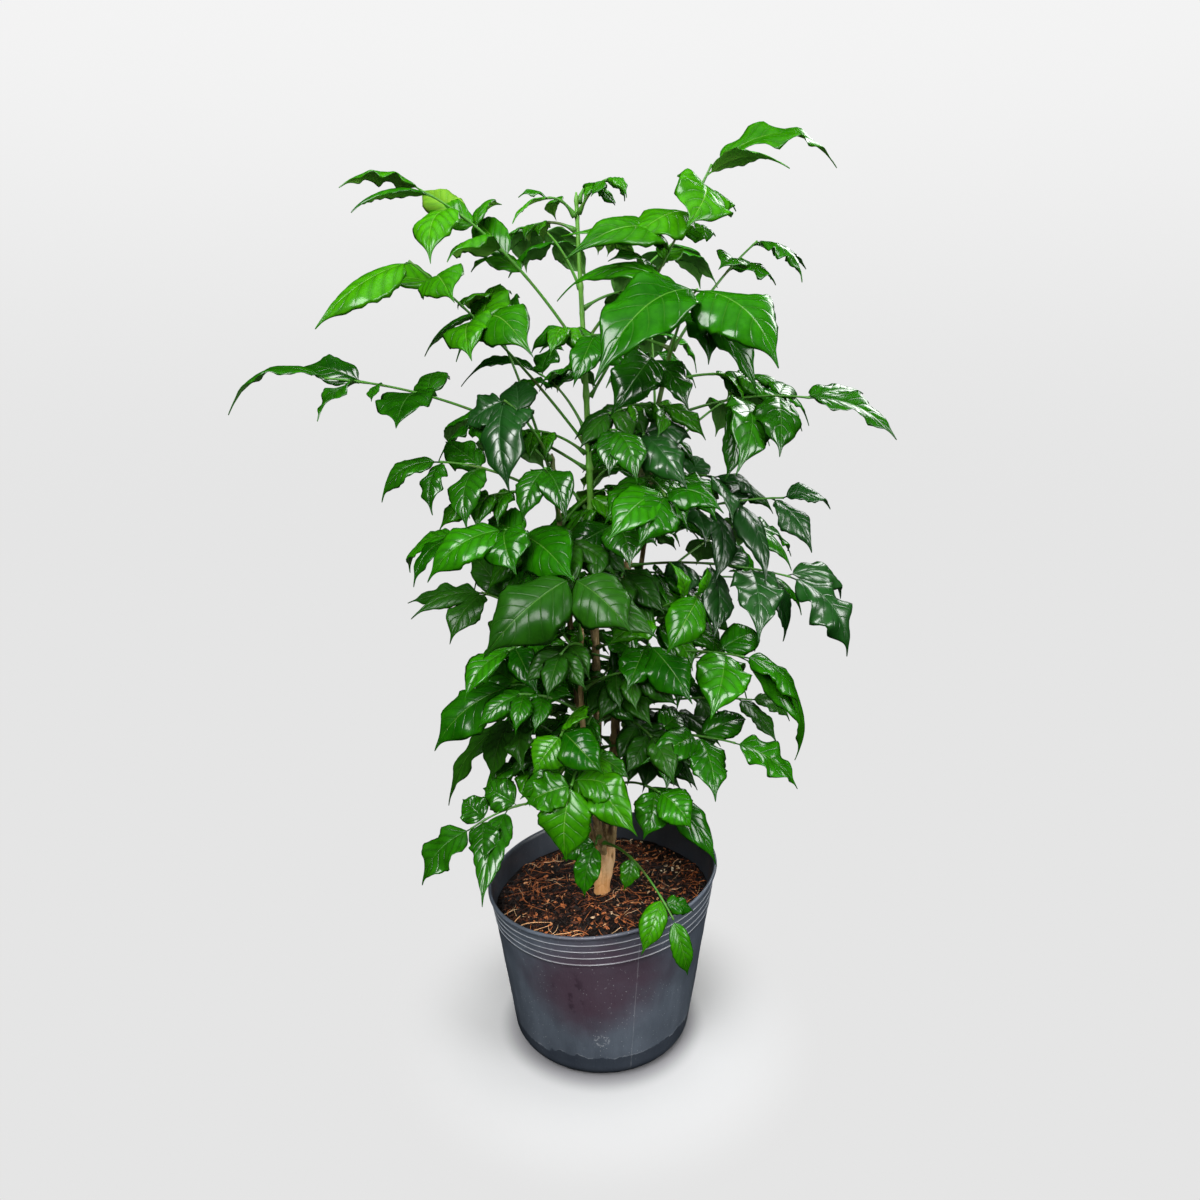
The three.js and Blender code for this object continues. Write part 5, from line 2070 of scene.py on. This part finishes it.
    @classmethod
    def make(cls) -> None:
        """Builds and dresses all the leaves. The inner ones are small, so fewer points will do."""
        greens = {tone: finish.dress(f"leaf_{tone.value}") for tone, finish in LEAF_FINISHES.items()}
        leaves = cls(greens, StalkFinish().dress("leaf_stalk"))
        leaves.make_outer()
        small = Blade(rows=26, columns=(0.1, 0.4, 0.75, 1.0))
        replace(leaves, blade=small, stalk_rows=16, stalk_sides=6).make_inner()


# ---------------- studio


@dataclass(frozen=True)
class Lamp:
    """One square soft light.

    Attributes:
        place, target: Where it hangs and what it points at, in metres.
        size: The length of its sides.
        power: Its watts.
        mirrored: Whether glossy surfaces show it.
        lighting: Whether dull surfaces are lit by it.
    """

    name: str
    place: Point
    target: Point
    size: float
    power: float
    mirrored: bool = True
    lighting: bool = True

    def hang(self) -> None:
        """Adds the light to the scene."""
        data = bpy.data.lights.new(self.name, "AREA")
        data.shape = "SQUARE"
        data.size = self.size
        data.energy = self.power
        lamp = bpy.data.objects.new(self.name, data)
        bpy.context.scene.collection.objects.link(lamp)
        away = Vector(self.place) - Vector(self.target)
        lamp.visible_glossy = self.mirrored
        lamp.visible_diffuse = self.lighting
        lamp.location = self.place
        lamp.rotation_euler = away.to_track_quat("Z", "Y").to_euler()


LAMPS: tuple[Lamp, ...] = (
    Lamp("key_light", (-0.55, -1.3, 1.6), (0.0, 0.0, 0.35), 1.1, 46.0),
    Lamp("fill_light", (1.4, -0.9, 0.9), (0.0, 0.0, 0.3), 0.8, 19.0),
    Lamp("top_light", (0.2, 0.1, 2.2), (0.0, 0.0, 0.4), 1.6, 44.0, mirrored=False),
    Lamp("sheen_light", (0.9, 1.1, 1.25), (0.05, 0.0, 0.35), 0.6, 7.5, lighting=False),
)


@dataclass
class Studio:
    """The pale floor that curves up into a backdrop, the sky, the camera and the soft lights.

    Attributes:
        sweep: The radius of the floor's curve up into the wall.
        shift: How far the picture is shifted to the side, as a share of its width.
        camera_place: Where the camera stands, in metres.
        camera_pitch: How far it looks down, in degrees.
        sky: The sky's (place, screen colour) stops, from straight below to straight above.
    """

    floor_radius: float = 1900.0
    sweep: float = 1500.0
    wall_height: float = 3600.0
    lens: float = 28.5
    sensor: float = 36.0
    shift: float = -0.0017
    camera_place: Point = (0.0, -0.742, 0.604)
    camera_pitch: float = 15.5
    sky: Stops = ((0.0, "525250"), (0.45, "908f8a"), (1.0, "f6f4ea"))
    sky_strength: float = 0.72

    def backdrop(self) -> None:
        """A round floor whose edge sweeps up into a wall, seen from inside."""
        bend = np.linspace(0, np.pi / 2, 24)[1:]
        flat = np.linspace(20, self.floor_radius, 12)
        radius = np.concatenate((flat, self.floor_radius + self.sweep * np.sin(bend)))
        height = np.concatenate((np.zeros_like(flat), self.sweep * (1 - np.cos(bend))))
        radius, height = np.append(radius, radius[-1]), np.append(height, self.wall_height)
        inner = turned(profile(radius, height - 0.2), 96)
        outer = turned(profile(radius + 30, height - 30), 96)
        rings = np.concatenate((outer, inner[::-1]))
        poles = np.array(((0, 0, -30), (0, 0, -0.2)), float)
        patch = closed_patch(rings, poles, np.zeros((*rings.shape[:2], 2)))
        floor = cast("studio_floor", [patch], [FloorFinish().dress("pale_floor")])
        floor.visible_diffuse = False
        floor.visible_glossy = False

    def world(self) -> None:
        """Pale light from above that fades to a dim glow from below, and doesn't mirror in the leaves."""
        world = bpy.data.worlds.new("studio_sky")
        world.use_nodes = True
        writer = Writer(world.node_tree)
        height = writer.parted(writer.spot("Generated"))[2]
        share = writer.number("MapRange", {}, {0: height, 1: -1.0})
        background = world.node_tree.nodes["Background"]
        writer.plug(writer.ramp(share, self.sky), background.inputs["Color"])
        writer.plug(self.sky_strength, background.inputs["Strength"])
        world.cycles_visibility.glossy = False
        bpy.context.scene.world = world

    def camera(self) -> None:
        """Stands the camera in front of the plant, above its middle and looking down a little."""
        data = bpy.data.cameras.new("studio_camera")
        data.lens = self.lens
        data.sensor_width = self.sensor
        data.shift_x = self.shift
        data.clip_start = 0.02
        camera = bpy.data.objects.new("studio_camera", data)
        camera.location = self.camera_place
        camera.rotation_euler = (np.radians(90 - self.camera_pitch), 0.0, 0.0)
        bpy.context.scene.collection.objects.link(camera)
        bpy.context.scene.camera = camera

    def make(self) -> None:
        """Sets up the camera, the backdrop, the sky and the lights."""
        self.camera()
        self.backdrop()
        self.world()
        for lamp in LAMPS:
            lamp.hang()
        bpy.context.scene.view_settings.view_transform = "Standard"


def corners(bounds: Sequence[Sequence[float]]) -> list[list[float]]:
    """Two corners as plain lists."""
    return [[float(x) for x in corner] for corner in bounds]


def main() -> None:
    """Builds the plant piece by piece."""
    logging.basicConfig(level=logging.INFO, format="%(message)s")
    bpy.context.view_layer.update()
    Studio().make()
    pot = Pot()
    pot.make()
    Soil(pot).make()
    Wood().make(LEAVES)
    Foliage.make()


if __name__ == "__main__":
    main()
